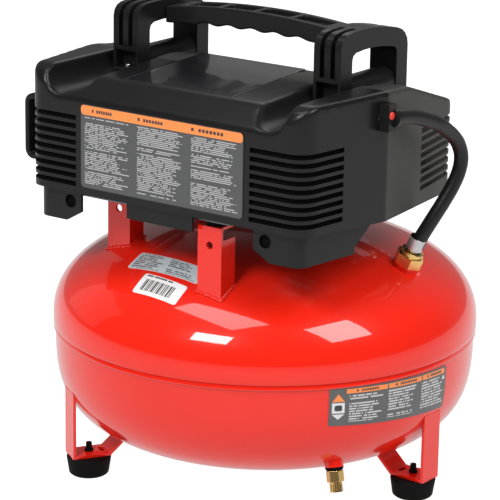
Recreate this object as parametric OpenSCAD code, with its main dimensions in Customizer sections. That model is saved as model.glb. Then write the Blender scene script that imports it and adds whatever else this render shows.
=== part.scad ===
// Pancake air compressor: a flat round tank on three legs, with an oil-free
// belt-driven pump under a two-part plastic shroud and a carrying handle on top.
// Origin on the tank's axis at the floor, +Z up, -Y the rear face with the large
// label, +X the end with the discharge hose, +Y the control panel.

/* [Tank] */
// Outside diameter of the tank at its seam
tank_d = 420; // [414:1:426]
// Height of the seam's lower edge, where the upper shell laps the lower one
seam_z = 142; // [140:1:144]
// Height of the tank's crown
tank_top_z = 242; // [240:1:243]
// Height of the tank's lowest point
tank_base_z = 25; // [24:1:27]
// Thickness of the tank's steel
steel_t = 2; // [1.6:0.2:2.4]

/* [Legs and feet] */
// Radius from the tank's axis to the rubber feet
foot_ring_r = 184; // [180:1:186]
// Height of a rubber foot
foot_h = 20; // [18:1:21]
// Width of a leg's steel strap
strap_w = 26; // [22:1:30]

/* [Shroud] */
// Distance from the tank's axis to the shroud's rear face
shroud_rear = 173; // [171:1:175]
// Half length of the shroud at its parting line
shroud_half = 175; // [174:1:177]
// Height of the shroud's shoulders at both ends
shoulder_z = 406; // [404:1:408]
// Thickness of the shroud's plastic
wall = 3; // [2:0.5:3]
// Number of air slots in each rear corner
rear_slots = 9; // [6:1:9]
// Number of air slots in each front corner
front_slots = 8; // [5:1:8]

/* [Handle] */
// Height of the handle's end frames
frame_top_z = 454; // [452:1:456]
// Width of an end frame
frame_w = 30; // [26:1:30]
// Height of the grip at the middle of its arch
grip_top_z = 454; // [452:1:458]

/* [Pump] */
// Height of the crankshaft and of the motor shaft
axis_z = 337; // [336:1:338]
// Distance of the crank pin from the crankshaft, half the stroke
throw_r = 8; // [6:1:8]
// Radius of the cylinder's bore
bore_r = 27; // [26.8:0.1:27.2]
// Radius of the flywheel under the belt
flywheel_r = 46; // [44:1:46]
// Belt ratio between flywheel and motor pinion
belt_ratio = 5; // [4.5:0.5:5]

/* [Controls] */
// Height of the manifold's axis and of both couplers
manifold_z = 294; // [293:1:295]
// Distance of each coupler from the middle of the panel
coupler_x = 42; // [40:1:44]
// Distance of each gauge from the middle of the panel
gauge_x = 55; // [54:1:57]
// Height of the gauges
gauge_z = 332; // [331:1:334]

/* [Hidden] */
$fn = 64;

// Tank: both heads are superellipses turned about the axis
tank_r = tank_d / 2;
lap_h = 6;
crown_z = seam_z + lap_h;
crown_h = tank_top_z - crown_z;
crown_n = 2.27;
lower_r = tank_r - steel_t - 0.1;
bowl_h = seam_z - tank_base_z;
bowl_n = 3.5;
head_steps = 15;

// Bungs and the parts on them
valve_xy = [152, 15];
riser_xy = [0, 84];
drain_r = 181;
drain_angle = -33.5;
drain_tilt = 18;
bung_r = 13.5;
bung_h = 4;

// Legs stand 120 degrees apart
leg_angles = [-3, 237, 117];
strap_t = 3;
strap_outer = 204;
strap_inner = 166;
strap_top = 88;
foot_r = 22;
stem_r = 3;
slot_offset = 13;

// Mounting posts: x, y of the plate's middle, and the way that it faces
posts = [[-99, -109, -1], [47.5, -160, -1], [-99, 28, 1], [47.5, 28, 1]];
post_w = 27;
post_depth = 22;
post_top = 278;
post_hole_z = 260;
post_hole_r = 3.6;
tab_inset = 11;

// Shroud
seam_y = -60;
seam_gap = 0.3;
shroud_front = 108;
channel_x = 117;
channel_r = 21;
channel_z = 401;
slot_h = 4.7;
slot_pitch = 8;
rear_slot_z = 361;
front_slot_z = 352;
skirt_low = 257;
edge_rear_z = 288;
edge_front_z = 276;
panel = [-66, -140, 56, -20];
panel_t = 1.8;
panel_slope = atan(7 / 126);

// Handle
frame_rear = -76;
frame_front = 39;
leg_low = 388;
rail_r = 14;
rail_z = 395;
grip_rear = -33;
grip_w = 34;
grip_arch = 6.5;
// Crest of an end frame and of its window: distance along Y, drop from the top
frame_crest = [
    [frame_rear, 13], [-74.5, 7.5], [-70.5, 3.3], [-64, 1.1], [-55, 0.2], [-41, 0], [-27, 0.2],
    [-12, 1.2], [5, 3.6], [20, 6.4], [28, 9.2], [34, 13.5], [37.8, 19], [frame_front, 25]
];
window_crest = [
    [-57, 27], [-55.5, 22.5], [-51, 20], [-37, 19], [-23, 19],
    [-9, 20], [8, 22.4], [16, 24.2], [19.2, 27], [20, 31]
];
frame_in = channel_x - frame_w / 2;

// Pump and motor
isolator_h = 5;
base_t = 3;
base_z = post_top + isolator_h;
deck_z = base_z + base_t;
crank_x = 20;
motor_x = -78;
cyl_y = -63;
cyl_x0 = 62;
cyl_x1 = 109.5;
head_half = 36;
head_bolt = 29;
shaft_r = 6;
pin_r = 5;
rod_len = 52;
pin_x = crank_x + throw_r;
small_end_x = pin_x + rod_len;
piston_r = bore_r - 0.3;
crown_x = small_end_x + 23.5;
pulley_y = -140;
pulley_w = 20;
pinion_r = flywheel_r / belt_ratio;
belt_t = 2.5;
belt_gap = 0.35;
fit = 0.05;

// Control panel
panel_y = shroud_front;
regulator_z = 326;
coupler_bore_r = 6;
lever_pivot = [-102, 94, 343];
lever_rest = -20;

// Discharge hose: middle line from the check valve up to the elbow
hose_r = 7;
hose_sides = 12;
hose_route = [
    [161, 16, 236], [164, 16.5, 242], [166.5, 17, 248], [171, 20, 258], [177, 26, 272],
    [182.5, 33, 286], [187, 40, 300], [190, 45, 314], [191, 46, 326], [190.5, 42, 338],
    [190, 33, 348], [189.5, 20, 357], [189, 4, 366], [187, -14, 373], [185, -32, 378.5],
    [183.5, -48, 381.5], [182, -61, 382.5]
];

// ---------------------------------------------------------------- helpers

function arc(cx, cy, r, a0, a1, n = 8) =
    [for (i = [0:n]) let (a = a0 + (a1 - a0) * i / n) [cx + r * cos(a), cy + r * sin(a)]];

function crown_at(r) = crown_z + crown_h * pow(1 - pow(r / tank_r, crown_n), 1 / crown_n);

function crown_tilt(r) =
    atan(crown_h / tank_r * pow(r / tank_r, crown_n - 1)
         * pow(1 - pow(r / tank_r, crown_n), 1 / crown_n - 1));

function bowl_at(r) = seam_z - bowl_h * pow(1 - pow(r / lower_r, bowl_n), 1 / bowl_n);

// One quarter of a superellipse, from the rim at r to the axis at height h
function head_curve(r, h, n) =
    [for (i = [0:head_steps]) let (a = 90 * i / head_steps)
        [r * pow(cos(a), 2 / n), h * pow(sin(a), 2 / n)]];

function unit(v) = v / norm(v);

// Direction of a route at point i
function heading(path, i) =
    unit(path[min(i + 1, len(path) - 1)] - path[max(i - 1, 0)]);

module tube(outer, inner, h) {
    difference() {
        cylinder(r = outer, h = h);
        translate([0, 0, -1]) cylinder(r = inner, h = h + 2);
    }
}

module along_x(x, y, z) {
    translate([x, y, z]) rotate([0, 90, 0]) children();
}

module along_y(x, y, z) {
    translate([x, y, z]) rotate([-90, 0, 0]) children();
}

// A block given by its lowest and highest corners
module block(low, high) {
    translate(low) cube(high - low);
}

module hexagon(flats, h) {
    cylinder(r = flats / 2 / cos(30), h = h, $fn = 6);
}

// Puts +Z on the outward normal of the upper head
module on_crown(x, y) {
    r = norm([x, y]);
    translate([x, y, crown_at(r)])
        rotate([0, 0, atan2(y, x)])
            rotate([0, crown_tilt(r), 0])
                children();
}

// Puts +Z on the drain's axis, down and outwards
module on_drain() {
    rotate([0, 0, drain_angle])
        translate([drain_r, 0, bowl_at(drain_r)])
            rotate([0, 180 - drain_tilt, 0])
                children();
}

// A round tube swept along a route, closed at both ends
module sweep(path, r, sides) {
    n = len(path);
    side = [for (i = [0:n - 1]) unit(cross(heading(path, i), [1, 0, 0.001]))];
    points = [for (i = [0:n - 1]) let (d = heading(path, i), u = side[i], v = cross(d, u))
        for (j = [0:sides - 1]) let (a = 360 * j / sides) path[i] + r * (cos(a) * u + sin(a) * v)];
    walls = [for (i = [0:n - 2]) for (j = [0:sides - 1])
        [i * sides + j, (i + 1) * sides + j,
         (i + 1) * sides + (j + 1) % sides, i * sides + (j + 1) % sides]];
    start = [[for (j = [0:sides - 1]) j]];
    finish = [[for (j = [sides - 1:-1:0]) (n - 1) * sides + j]];
    polyhedron(points = points, faces = concat(walls, start, finish));
}

// ---------------------------------------------------------------- tank

module crown_solid(inset, low) {
    outline = concat(
        [[0, low], [tank_r - inset, low]],
        [for (p = head_curve(tank_r - inset, crown_h - inset, crown_n)) p + [0, crown_z]]);
    rotate_extrude($fn = 128) polygon(outline);
}

module bowl_solid(inset, top) {
    outline = concat(
        [[0, top], [lower_r - inset, top]],
        [for (p = head_curve(lower_r - inset, bowl_h - inset, bowl_n)) [p[0], seam_z - p[1]]]);
    rotate_extrude($fn = 128) polygon(outline);
}

// Everything that the closed tank fills, used to seat what is welded to it
module tank_form() {
    crown_solid(0, seam_z);
    bowl_solid(0, crown_z);
}

module tank_upper_shell() {
    color("red")
        difference() {
            crown_solid(0, seam_z);
            crown_solid(steel_t, seam_z - 1);
            on_crown(valve_xy[0], valve_xy[1])
                translate([0, 0, -15]) cylinder(r = 5, h = 30);
            translate([riser_xy[0], riser_xy[1], 200]) cylinder(r = 5, h = 60);
        }
}

module tank_lower_shell() {
    color("red")
        difference() {
            bowl_solid(0, crown_z);
            bowl_solid(steel_t, crown_z + 1);
            on_drain() translate([0, 0, -15]) cylinder(r = 4, h = 30);
        }
}

module strap(points) {
    rotate([90, 0, 0])
        translate([0, 0, -strap_w / 2])
            linear_extrude(strap_w)
                polygon(points);
}

module leg(angle) {
    lean_r = 144;
    lean_z = 42;
    color("red")
        difference() {
            rotate([0, 0, angle])
                difference() {
                    strap([[strap_outer, foot_h], [strap_outer, strap_top],
                           [strap_outer - strap_t, strap_top],
                           [strap_outer - strap_t, foot_h + strap_t],
                           [strap_inner + 1, foot_h + strap_t],
                           [lean_r + 2, lean_z], [lean_r - 2, lean_z],
                           [strap_inner, foot_h]]);
                    translate([foot_ring_r, 0, 0]) cylinder(r = stem_r + fit, h = 40);
                    for (y = [-3, 3])
                        translate([foot_ring_r - slot_offset, y, 0]) cylinder(r = 2.5, h = 25);
                    block([foot_ring_r - slot_offset - 2.5, -3, 0],
                          [foot_ring_r - slot_offset + 2.5, 3, 25]);
                }
            tank_form();
        }
}

module foot(angle) {
    color([0.1, 0.1, 0.1])
        rotate([0, 0, angle])
            translate([foot_ring_r, 0, 0]) {
                rotate_extrude()
                    polygon([[0, 0], [17, 0], [19.5, 2], [foot_r, foot_h - 2],
                             [foot_r - 1, foot_h], [0, foot_h]]);
                cylinder(r = stem_r, h = foot_h + strap_t + 9);
                translate([0, 0, foot_h + strap_t]) cylinder(r = stem_r + 1.2, h = 2.5);
            }
}

// A bent steel bracket: face plate, one side flange and a tab that carries the pump
module post(x, y, faces) {
    translate([x, y, 0])
        mirror([0, faces > 0 ? 1 : 0, 0])
            difference() {
                union() {
                    block([-post_w / 2, 0, 190], [post_w / 2, strap_t, post_top]);
                    block([post_w / 2 - strap_t, 0, 190], [post_w / 2, post_depth, post_top - 12]);
                    block([-post_w / 2 + 2, 0, post_top - strap_t],
                          [post_w / 2 - 2, post_depth, post_top]);
                }
                along_y(0, -1, post_hole_z) cylinder(r = post_hole_r, h = strap_t + 2);
                translate([0, tab_inset, post_top - 10]) cylinder(r = 3 + fit, h = 20);
            }
}

module mount_posts() {
    color("red")
        difference() {
            for (p = posts) post(p[0], p[1], p[2]);
            tank_form();
        }
}

module tank_bungs() {
    color("red")
        difference() {
            union() {
                on_crown(valve_xy[0], valve_xy[1])
                    translate([0, 0, -8]) cylinder(r = bung_r, h = bung_h + 8);
                translate([riser_xy[0], riser_xy[1], 225])
                    cylinder(r = bung_r, h = crown_at(norm(riser_xy)) + bung_h - 225);
                on_drain() translate([0, 0, -12]) cylinder(r = 9, h = 16);
            }
            tank_form();
            on_crown(valve_xy[0], valve_xy[1]) translate([0, 0, -9]) cylinder(r = 5, h = 30);
            translate([riser_xy[0], riser_xy[1], 220]) cylinder(r = 5, h = 60);
            on_drain() translate([0, 0, -13]) cylinder(r = 4, h = 30);
        }
}

// ---------------------------------------------------------------- drain

module drain_valve() {
    color("goldenrod")
        on_drain()
            difference() {
                union() {
                    translate([0, 0, 4]) cylinder(r = 6.5, h = 3.5);
                    translate([0, 0, 7.5]) hexagon(14.5, 10.5);
                    translate([0, 0, 18]) cylinder(r = 3, h = 6);
                }
                translate([0, 0, 3]) cylinder(r = 1.5, h = 25);
            }
}

module drain_knob() {
    knurls = 16;
    color("goldenrod")
        on_drain()
            translate([0, 0, 18.4])
                difference() {
                    cylinder(r = 6, h = 9.2);
                    translate([0, 0, -1]) cylinder(r = 3 + fit, h = 6.8);
                    for (i = [0:knurls - 1])
                        rotate([0, 0, 360 * i / knurls])
                            translate([6.3, 0, 1.5]) cylinder(r = 0.8, h = 6.2);
                }
}

// ---------------------------------------------------------------- discharge line

module check_valve() {
    color("goldenrod")
        on_crown(valve_xy[0], valve_xy[1])
            difference() {
                union() {
                    translate([0, 0, bung_h]) hexagon(25, 11);
                    translate([0, 0, bung_h + 11]) cylinder(r = 11, h = 4);
                    translate([0, 0, bung_h + 15]) cylinder(r = 7, h = 2);
                }
                translate([0, 0, bung_h - 1]) cylinder(r = 3, h = 20);
            }
}

module hose_ferrule() {
    color("silver")
        on_crown(valve_xy[0], valve_xy[1])
            translate([0, 0, bung_h + 17]) tube(8.4, hose_r + 0.6, 13);
}

module discharge_hose() {
    color([0.12, 0.12, 0.12]) sweep(hose_route, hose_r, hose_sides);
}

module hose_elbow() {
    color([0.15, 0.15, 0.15])
        difference() {
            union() {
                block([168, -74, 371], [184, -61, 396]);
                along_y(182, -66, 382.5) cylinder(r = 8.5, h = 6);
            }
            shroud_form(0);
        }
}

module head_outlet_pipe() {
    color("silver") {
        along_x(134, -68, 352) cylinder(r = 5, h = 18);
        translate([152, -68, 347]) cylinder(r = 5.5, h = 38);
        along_x(152, -68, 385) cylinder(r = 5, h = 21);
    }
}

// ---------------------------------------------------------------- shroud

// Outline seen from above, w inside the outer face
function shroud_plan(w) = concat(
    arc(shroud_half - 34, 20 - shroud_rear, 20 - w, -90, -8),
    [[shroud_half - w, seam_y]],
    arc(shroud_half - 48, shroud_front - 25, 25 - w, 9, 90),
    arc(48 - shroud_half, shroud_front - 25, 25 - w, 90, 171),
    [[w - shroud_half, seam_y]],
    arc(34 - shroud_half, 20 - shroud_rear, 20 - w, 188, 270));

// Outlines seen from the end: the shoulders at both ends, and the hump between the channels
function shoulder_side(w, low) = [
    [w - shroud_rear, w > 0 ? low : edge_rear_z], [w - shroud_rear, shoulder_z - 14],
    [w - shroud_rear + 5, shoulder_z - w - 5], [w - shroud_rear + 17, shoulder_z - w],
    [seam_y, shoulder_z - w], [-10, 401 - w],
    [105 - w, 366 - w], [shroud_front - w, 361 - w], [shroud_front - w, w > 0 ? low : edge_front_z]];

function hump_side(w, low) = [
    [w - shroud_rear, w > 0 ? low : edge_rear_z], [w - shroud_rear, 380 - w / 2],
    [-146, 397.5 - w], [-20, 404.5 - w], [-10, 401 - w],
    [105 - w, 366 - w], [shroud_front - w, 361 - w], [shroud_front - w, w > 0 ? low : edge_front_z]];

module end_profile(points, x0, x1) {
    translate([x0, 0, 0])
        rotate([90, 0, 90])
            linear_extrude(x1 - x0)
                polygon(points);
}

module shroud_form(w) {
    low = 200;
    difference() {
        intersection() {
            translate([0, 0, low + 1]) linear_extrude(250) polygon(shroud_plan(w));
            union() {
                end_profile(hump_side(w, low), -channel_x, channel_x);
                end_profile(shoulder_side(w, low), channel_x, 200);
                end_profile(shoulder_side(w, low), -200, -channel_x);
            }
        }
        for (side = [-1, 1]) {
            along_y(side * channel_x, -200, channel_z) cylinder(r = channel_r + w, h = 300);
            block([side * channel_x - channel_r - w, -200, channel_z],
                  [side * channel_x + channel_r + w, 100, channel_z + 20]);
        }
    }
}

// The plate's seat, sloping up towards the front
module on_panel() {
    translate([0, -146, 397.5]) rotate([panel_slope, 0, 0]) children();
}

module panel_plate(grow, t) {
    on_panel()
        block([panel[0] - grow, panel[1] + 146 - grow, -t],
              [panel[2] + grow, panel[3] + 146 + grow, grow > 0 ? 5 : -0.3]);
}

module rear_slot_cuts() {
    for (side = [-1, 1], i = [0:rear_slots - 1])
        mirror([side < 0 ? 1 : 0, 0, 0])
            translate([100, -185, rear_slot_z - i * slot_pitch - slot_h / 2])
                cube([85, 66, slot_h]);
}

module front_slot_cuts() {
    for (side = [-1, 1], i = [0:front_slots - 1])
        mirror([side < 0 ? 1 : 0, 0, 0])
            translate([118, 21, front_slot_z - i * slot_pitch - slot_h / 2])
                cube([60, 95, slot_h]);
}

// Screw holes through the floors of both channels
module channel_holes() {
    for (x = [-channel_x, channel_x], y = [frame_rear + 6, frame_front - 6])
        translate([x, y, 370]) cylinder(r = 2.5 + fit, h = 20);
}

// The lower guard under each rear corner, with its access hole
module skirts() {
    for (side = [-1, 1])
        mirror([side < 0 ? 1 : 0, 0, 0])
            difference() {
                intersection() {
                    union() {
                        translate([0, 0, skirt_low])
                            linear_extrude(34)
                                difference() {
                                    polygon(shroud_plan(8));
                                    polygon(shroud_plan(11));
                                }
                        translate([0, 0, edge_rear_z])
                            linear_extrude(wall)
                                difference() {
                                    polygon(shroud_plan(1));
                                    polygon(shroud_plan(11));
                                }
                    }
                    block([100, -180, 250], [180, seam_y - seam_gap / 2, 300]);
                }
                rotate([90, 0, 90])
                    linear_extrude(200)
                        polygon([[-92, 250], [-92, 263], [-66, 285], [-50, 285], [-50, 250]]);
                rotate([90, 0, 0])
                    translate([0, 0, 150])
                        linear_extrude(30)
                            polygon([[99, 250], [99, 268], [118, 256.9], [118, 250]]);
                along_y(113, -180, 276.5) cylinder(r = 6.5, h = 20);
            }
}

module rear_shroud() {
    color([0.2, 0.2, 0.2]) {
        difference() {
            shroud_form(0);
            shroud_form(wall);
            block([-200, seam_y - seam_gap / 2, 200], [200, 200, 450]);
            panel_plate(0.4, panel_t + 0.3);
            rear_slot_cuts();
            channel_holes();
            along_x(150, -68, 385) cylinder(r = 7, h = 40);
        }
        skirts();
        block([-43, -168, 272], [33.5, -165, 294]);
        block([-43, -170.5, 290], [33.5, -165, 294]);
    }
}

module front_shroud() {
    color([0.2, 0.2, 0.2])
        difference() {
            shroud_form(0);
            shroud_form(wall);
            block([-200, -200, 200], [200, seam_y + seam_gap / 2, 450]);
            panel_plate(0.4, panel_t + 0.3);
            front_slot_cuts();
            channel_holes();
            for (x = [-gauge_x, gauge_x]) along_y(x, 90, gauge_z) cylinder(r = 20.6, h = 30);
            for (x = [-coupler_x, coupler_x]) along_y(x, 90, manifold_z) cylinder(r = 13.5, h = 30);
            along_y(0, 90, regulator_z) cylinder(r = 9, h = 30);
            along_y(84, 90, manifold_z) cylinder(r = 9.5, h = 30);
            block([-108.5, 100, 331], [-95.5, 115, 355]);
            on_gland() translate([0, 0, -10]) cylinder(r = 8 + fit, h = 20);
        }
}

module top_panel() {
    color([0.12, 0.12, 0.13]) panel_plate(0, panel_t);
}

module cord_wrap() {
    color([0.15, 0.15, 0.15])
        difference() {
            translate([0, -62, 0])
                rotate([90, 0, 0])
                    linear_extrude(60)
                        difference() {
                            union() {
                                translate([-207, 306]) square([47, 46]);
                                translate([-197, 296]) square([37, 66]);
                                translate([-197, 352]) circle(r = 10);
                                translate([-197, 306]) circle(r = 10);
                            }
                            translate([-201, 302]) square([45, 54]);
                        }
            shroud_form(0);
        }
}

module on_gland() {
    translate([-165.6, 0, 300]) rotate([0, 0, 171]) rotate([0, 90, 0]) children();
}

module power_inlet_gland() {
    color([0.1, 0.1, 0.1])
        on_gland()
            difference() {
                union() {
                    translate([0, 0, -12]) cylinder(r = 8, h = 12.5);
                    translate([0, 0, 0.5]) cylinder(r = 12, h = 4);
                    translate([0, 0, 4.5]) hexagon(17, 8);
                }
                translate([0, 0, -13]) cylinder(r = 4, h = 40);
            }
}

// ---------------------------------------------------------------- handle

// One end frame in its own plane: two legs joined by an arched top arm
module frame_outline() {
    difference() {
        polygon(concat([[frame_front, leg_low], [frame_rear, leg_low]],
                       [for (p = frame_crest) [p[0], frame_top_z - p[1]]]));
        polygon(concat([[20, leg_low - 1], [-57, leg_low - 1]],
                       [for (p = window_crest) [p[0], frame_top_z - p[1]]]));
    }
}

module handle_frame() {
    groove = 5;
    rib = (frame_w - 2 * groove) / 3;
    middle = (frame_rear + frame_front) / 2;
    color([0.13, 0.13, 0.13])
        difference() {
            union() {
                translate([frame_in, 0, 0])
                    rotate([90, 0, 90])
                        linear_extrude(frame_w)
                            frame_outline();
                along_y(channel_x, -58, rail_z) cylinder(r = rail_r, h = 79);
                for (y = [frame_rear + 2, frame_front - 10])
                    block([channel_x - 8, y, 382], [channel_x + 8, y + 8, leg_low + 1]);
            }
            for (i = [0:1])
                translate([frame_in + rib + i * (rib + groove), 0, frame_top_z]) {
                    block([0, -85, -42], [groove, -69, 10]);
                    block([0, -85, -7.5], [groove, -40, 10]);
                    block([0, 32, -42], [groove, 50, 10]);
                    translate([0, 3, -10.5]) rotate([-14, 0, 0]) cube([groove, 50, 25]);
                }
            for (y = [0, 1])
                translate([channel_x, middle, 0])
                    mirror([0, y, 0]) {
                        block([-frame_w / 2 + 3, -60, 391], [frame_w / 2 - 3, -45.5, 408]);
                        translate([0, -51.5, 370]) cylinder(r = 2.5 + fit, h = 30);
                    }
        }
}

module handle_right_frame() {
    handle_frame();
}

module handle_left_frame() {
    mirror([1, 0, 0]) handle_frame();
}

// The grip's arch, with finger waves along its underside
function grip_top(x) = grip_top_z - grip_arch * pow(x / frame_in, 2);
function grip_low(x) = grip_top_z - 18 - 4 * pow(x / frame_in, 2)
    + (abs(x) < 68 ? 1.2 * cos(360 * x / 27) : 1.2 * cos(360 * 68 / 27));

module handle_grip() {
    steps = 68;
    pockets = 4;
    xs = [for (i = [0:steps]) frame_in * (2 * i / steps - 1)];
    outline = concat([for (x = xs) [x, grip_top(x)]],
                     [for (i = [steps:-1:0]) [xs[i], grip_low(xs[i])]]);
    color([0.11, 0.11, 0.11])
        difference() {
            translate([0, grip_rear + grip_w, 0])
                rotate([90, 0, 0])
                    linear_extrude(grip_w)
                        polygon(outline);
            for (i = [0:pockets - 1])
                translate([-81 + 42 * i, grip_rear + 7, grip_top(-63 + 42 * i) - 6])
                    cube([36, grip_w - 14, 20]);
        }
}

module handle_screws() {
    color("silver")
        for (x = [-channel_x, channel_x], y = [frame_rear + 6, frame_front - 6])
            translate([x, y, 391]) {
                cylinder(r = 5, h = 3.5);
                translate([0, 0, -16]) cylinder(r = 2.5, h = 17);
            }
}

// ---------------------------------------------------------------- pump

// Middle of each post's tab, where the pump base is bolted down
tabs = [for (p = posts) [p[0], p[1] - p[2] * tab_inset]];

module pump_base() {
    color("dimgray")
        difference() {
            union() {
                block([-120, -161.5, base_z], [72, 34, deck_z]);
                for (x = [-120, 69]) block([x, -130, base_z - 8], [x + 3, 0, base_z]);
            }
            for (t = tabs) translate([t[0], t[1], base_z - 1]) cylinder(r = 3 + fit, h = base_t + 2);
        }
}

module isolators() {
    color([0.1, 0.1, 0.1])
        for (t = tabs) translate([t[0], t[1], post_top]) tube(9, 3 + fit, isolator_h);
}

module pump_bolts() {
    color("silver") {
        for (t = tabs)
            translate([t[0], t[1], 0]) {
                translate([0, 0, post_top - 8]) cylinder(r = 3, h = deck_z - post_top + 9);
                translate([0, 0, deck_z]) hexagon(10, 4);
                translate([0, 0, post_top - strap_t - 5]) hexagon(10, 5);
            }
        for (y = [-head_bolt, head_bolt], z = [-head_bolt, head_bolt])
            along_x(cyl_x0 - 8, cyl_y + y, axis_z + z) {
                cylinder(r = 2.5, h = 81);
                translate([0, 0, 80]) hexagon(8, 4);
            }
    }
}

// Cast foot, bearing wall and the flange that carries the cylinder
module crankcase() {
    color("lightgray")
        difference() {
            union() {
                block([-16, -112, deck_z], [cyl_x0, -28, deck_z + 6]);
                block([0, -112, deck_z + 6], [40, -86, axis_z]);
                along_y(crank_x, -112, axis_z) cylinder(r = 21, h = 28);
                block([cyl_x0 - 8, cyl_y - head_half, deck_z],
                      [cyl_x0, cyl_y + head_half, axis_z + head_half]);
                block([40, -99, deck_z + 6], [cyl_x0 - 8, -92, axis_z + 8]);
            }
            along_y(crank_x, -113, axis_z) cylinder(r = 16 + fit, h = 30);
            along_x(cyl_x0 - 9, cyl_y, axis_z) cylinder(r = bore_r + 1, h = 12);
            for (y = [-head_bolt, head_bolt], z = [-head_bolt, head_bolt])
                along_x(cyl_x0 - 15, cyl_y + y, axis_z + z) cylinder(r = 2.5 + fit, h = 16);
        }
}

module crank_bearings() {
    color("silver")
        for (y = [-111, -96])
            along_y(crank_x, y, axis_z) tube(16, shaft_r, 11);
}

module cylinder_barrel() {
    fins = 5;
    color("lightgray")
        difference() {
            union() {
                along_x(cyl_x0, cyl_y, axis_z) cylinder(r = bore_r + 3.5, h = cyl_x1 - cyl_x0);
                for (i = [0:fins - 1])
                    along_x(cyl_x0 + 6 + i * 8, cyl_y, axis_z) cylinder(r = 35, h = 2.5);
            }
            along_x(cyl_x0 - 1, cyl_y, axis_z) cylinder(r = bore_r, h = cyl_x1 - cyl_x0 + 2);
            for (y = [-head_bolt, head_bolt], z = [-head_bolt, head_bolt])
                along_x(cyl_x0 - 1, cyl_y + y, axis_z + z)
                    cylinder(r = 2.5 + fit, h = cyl_x1 - cyl_x0 + 2);
        }
}

module square_plate(x0, x1) {
    difference() {
        block([x0, cyl_y - head_half, axis_z - head_half], [x1, cyl_y + head_half, axis_z + head_half]);
        for (y = [-head_bolt, head_bolt], z = [-head_bolt, head_bolt])
            along_x(x0 - 1, cyl_y + y, axis_z + z) cylinder(r = 2.5 + fit, h = x1 - x0 + 2);
    }
}

module valve_plate() {
    color("silver")
        difference() {
            square_plate(cyl_x1, cyl_x1 + 3);
            for (z = [-10, 10])
                along_x(cyl_x1 - 1, cyl_y, axis_z + z) cylinder(r = 5, h = 5);
        }
}

module cylinder_head() {
    color("lightgray")
        difference() {
            square_plate(cyl_x1 + 3, 134);
            for (z = [-12, 12])
                along_x(cyl_x1 + 2, cyl_y, axis_z + z) cylinder(r = 9, h = 14);
            for (i = [0:4])
                block([126, cyl_y - 21 + i * 10, axis_z - 20],
                      [135, cyl_y - 17 + i * 10, axis_z + 5]);
        }
}

module intake_filter() {
    color([0.15, 0.15, 0.15]) {
        along_y(123, -123, axis_z) cylinder(r = 14, h = 18);
        along_y(123, -105, axis_z) cylinder(r = 6, h = 6);
    }
}

module piston() {
    color("silver")
        difference() {
            along_x(small_end_x + 4, cyl_y, axis_z)
                cylinder(r = piston_r, h = crown_x + 5 - small_end_x - 4);
            along_x(small_end_x, cyl_y, axis_z) cylinder(r = 22, h = crown_x - small_end_x);
            along_x(crown_x - 3, cyl_y, axis_z) tube(piston_r + 1, piston_r - 1.5, 2);
        }
}

module connecting_rod() {
    half = 6;
    color("lightgray")
        difference() {
            union() {
                along_y(pin_x, cyl_y - half, axis_z) cylinder(r = 11, h = 2 * half);
                along_y(small_end_x, cyl_y - half, axis_z) cylinder(r = 7, h = 2 * half);
                block([pin_x + 8, cyl_y - 3, axis_z - 5], [small_end_x - 5, cyl_y + 3, axis_z + 5]);
            }
            along_y(pin_x, cyl_y - half - 1, axis_z) cylinder(r = pin_r + fit, h = 2 * half + 2);
            along_y(small_end_x, cyl_y - half - 1, axis_z) cylinder(r = 3 + fit, h = 2 * half + 2);
        }
}

module wrist_pin() {
    color("silver") along_y(small_end_x, cyl_y - 15, axis_z) cylinder(r = 3, h = 30);
}

// Flywheel, crankshaft, crank web and crank pin turn as one
module flywheel() {
    spokes = 5;
    color("dimgray") {
        difference() {
            along_y(crank_x, pulley_y, axis_z) {
                cylinder(r = flywheel_r, h = pulley_w);
                cylinder(r = flywheel_r + 2, h = 2);
                translate([0, 0, pulley_w - 2]) cylinder(r = flywheel_r + 2, h = 2);
            }
            along_y(crank_x, pulley_y, axis_z)
                for (i = [0:spokes - 1])
                    rotate([0, 0, 360 * i / spokes + 18])
                        translate([26, 0, -1]) cylinder(r = 11, h = pulley_w + 2);
        }
        along_y(crank_x, pulley_y - 2, axis_z) cylinder(r = shaft_r - fit, h = 61);
        along_y(crank_x, -81, axis_z) cylinder(r = 20, h = 8);
        along_y(pin_x, -74, axis_z) cylinder(r = pin_r, h = 18);
    }
}

module belt_outline(grow) {
    hull() {
        translate([crank_x, axis_z]) circle(r = flywheel_r + grow);
        translate([motor_x, axis_z]) circle(r = pinion_r + grow);
    }
}

module drive_belt() {
    color([0.08, 0.08, 0.08])
        translate([0, pulley_y + pulley_w - 3, 0])
            rotate([90, 0, 0])
                linear_extrude(pulley_w - 6)
                    difference() {
                        belt_outline(belt_gap + belt_t);
                        belt_outline(belt_gap);
                    }
}

// ---------------------------------------------------------------- motor

module motor_stator() {
    color("dimgray")
        along_y(motor_x, -105, axis_z)
            difference() {
                cylinder(r = 37, h = 60);
                translate([0, 0, -1]) cylinder(r = 21, h = 62);
            }
}

module motor_bracket(y) {
    difference() {
        union() {
            along_y(motor_x, y, axis_z) cylinder(r = 35, h = 8);
            block([motor_x - 25, y, deck_z], [motor_x + 25, y + 8, axis_z - 20]);
        }
        along_y(motor_x, y - 1, axis_z) cylinder(r = 4 + fit, h = 10);
        for (i = [0:2])
            along_y(motor_x, y - 1, axis_z)
                rotate([0, 0, 90 + 120 * i]) translate([22, 0, 0]) cylinder(r = 7, h = 10);
    }
}

module motor_brackets() {
    color("silver") {
        motor_bracket(-113);
        motor_bracket(-45);
    }
}

module motor_rotor() {
    color("slategray") {
        along_y(motor_x, pulley_y - 2, axis_z) cylinder(r = 4, h = 142);
        along_y(motor_x, pulley_y, axis_z) cylinder(r = pinion_r, h = pulley_w);
        along_y(motor_x, -100, axis_z) cylinder(r = 20.5, h = 42);
        along_y(motor_x, -58, axis_z) cylinder(r = 12, h = 11);
    }
}

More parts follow.
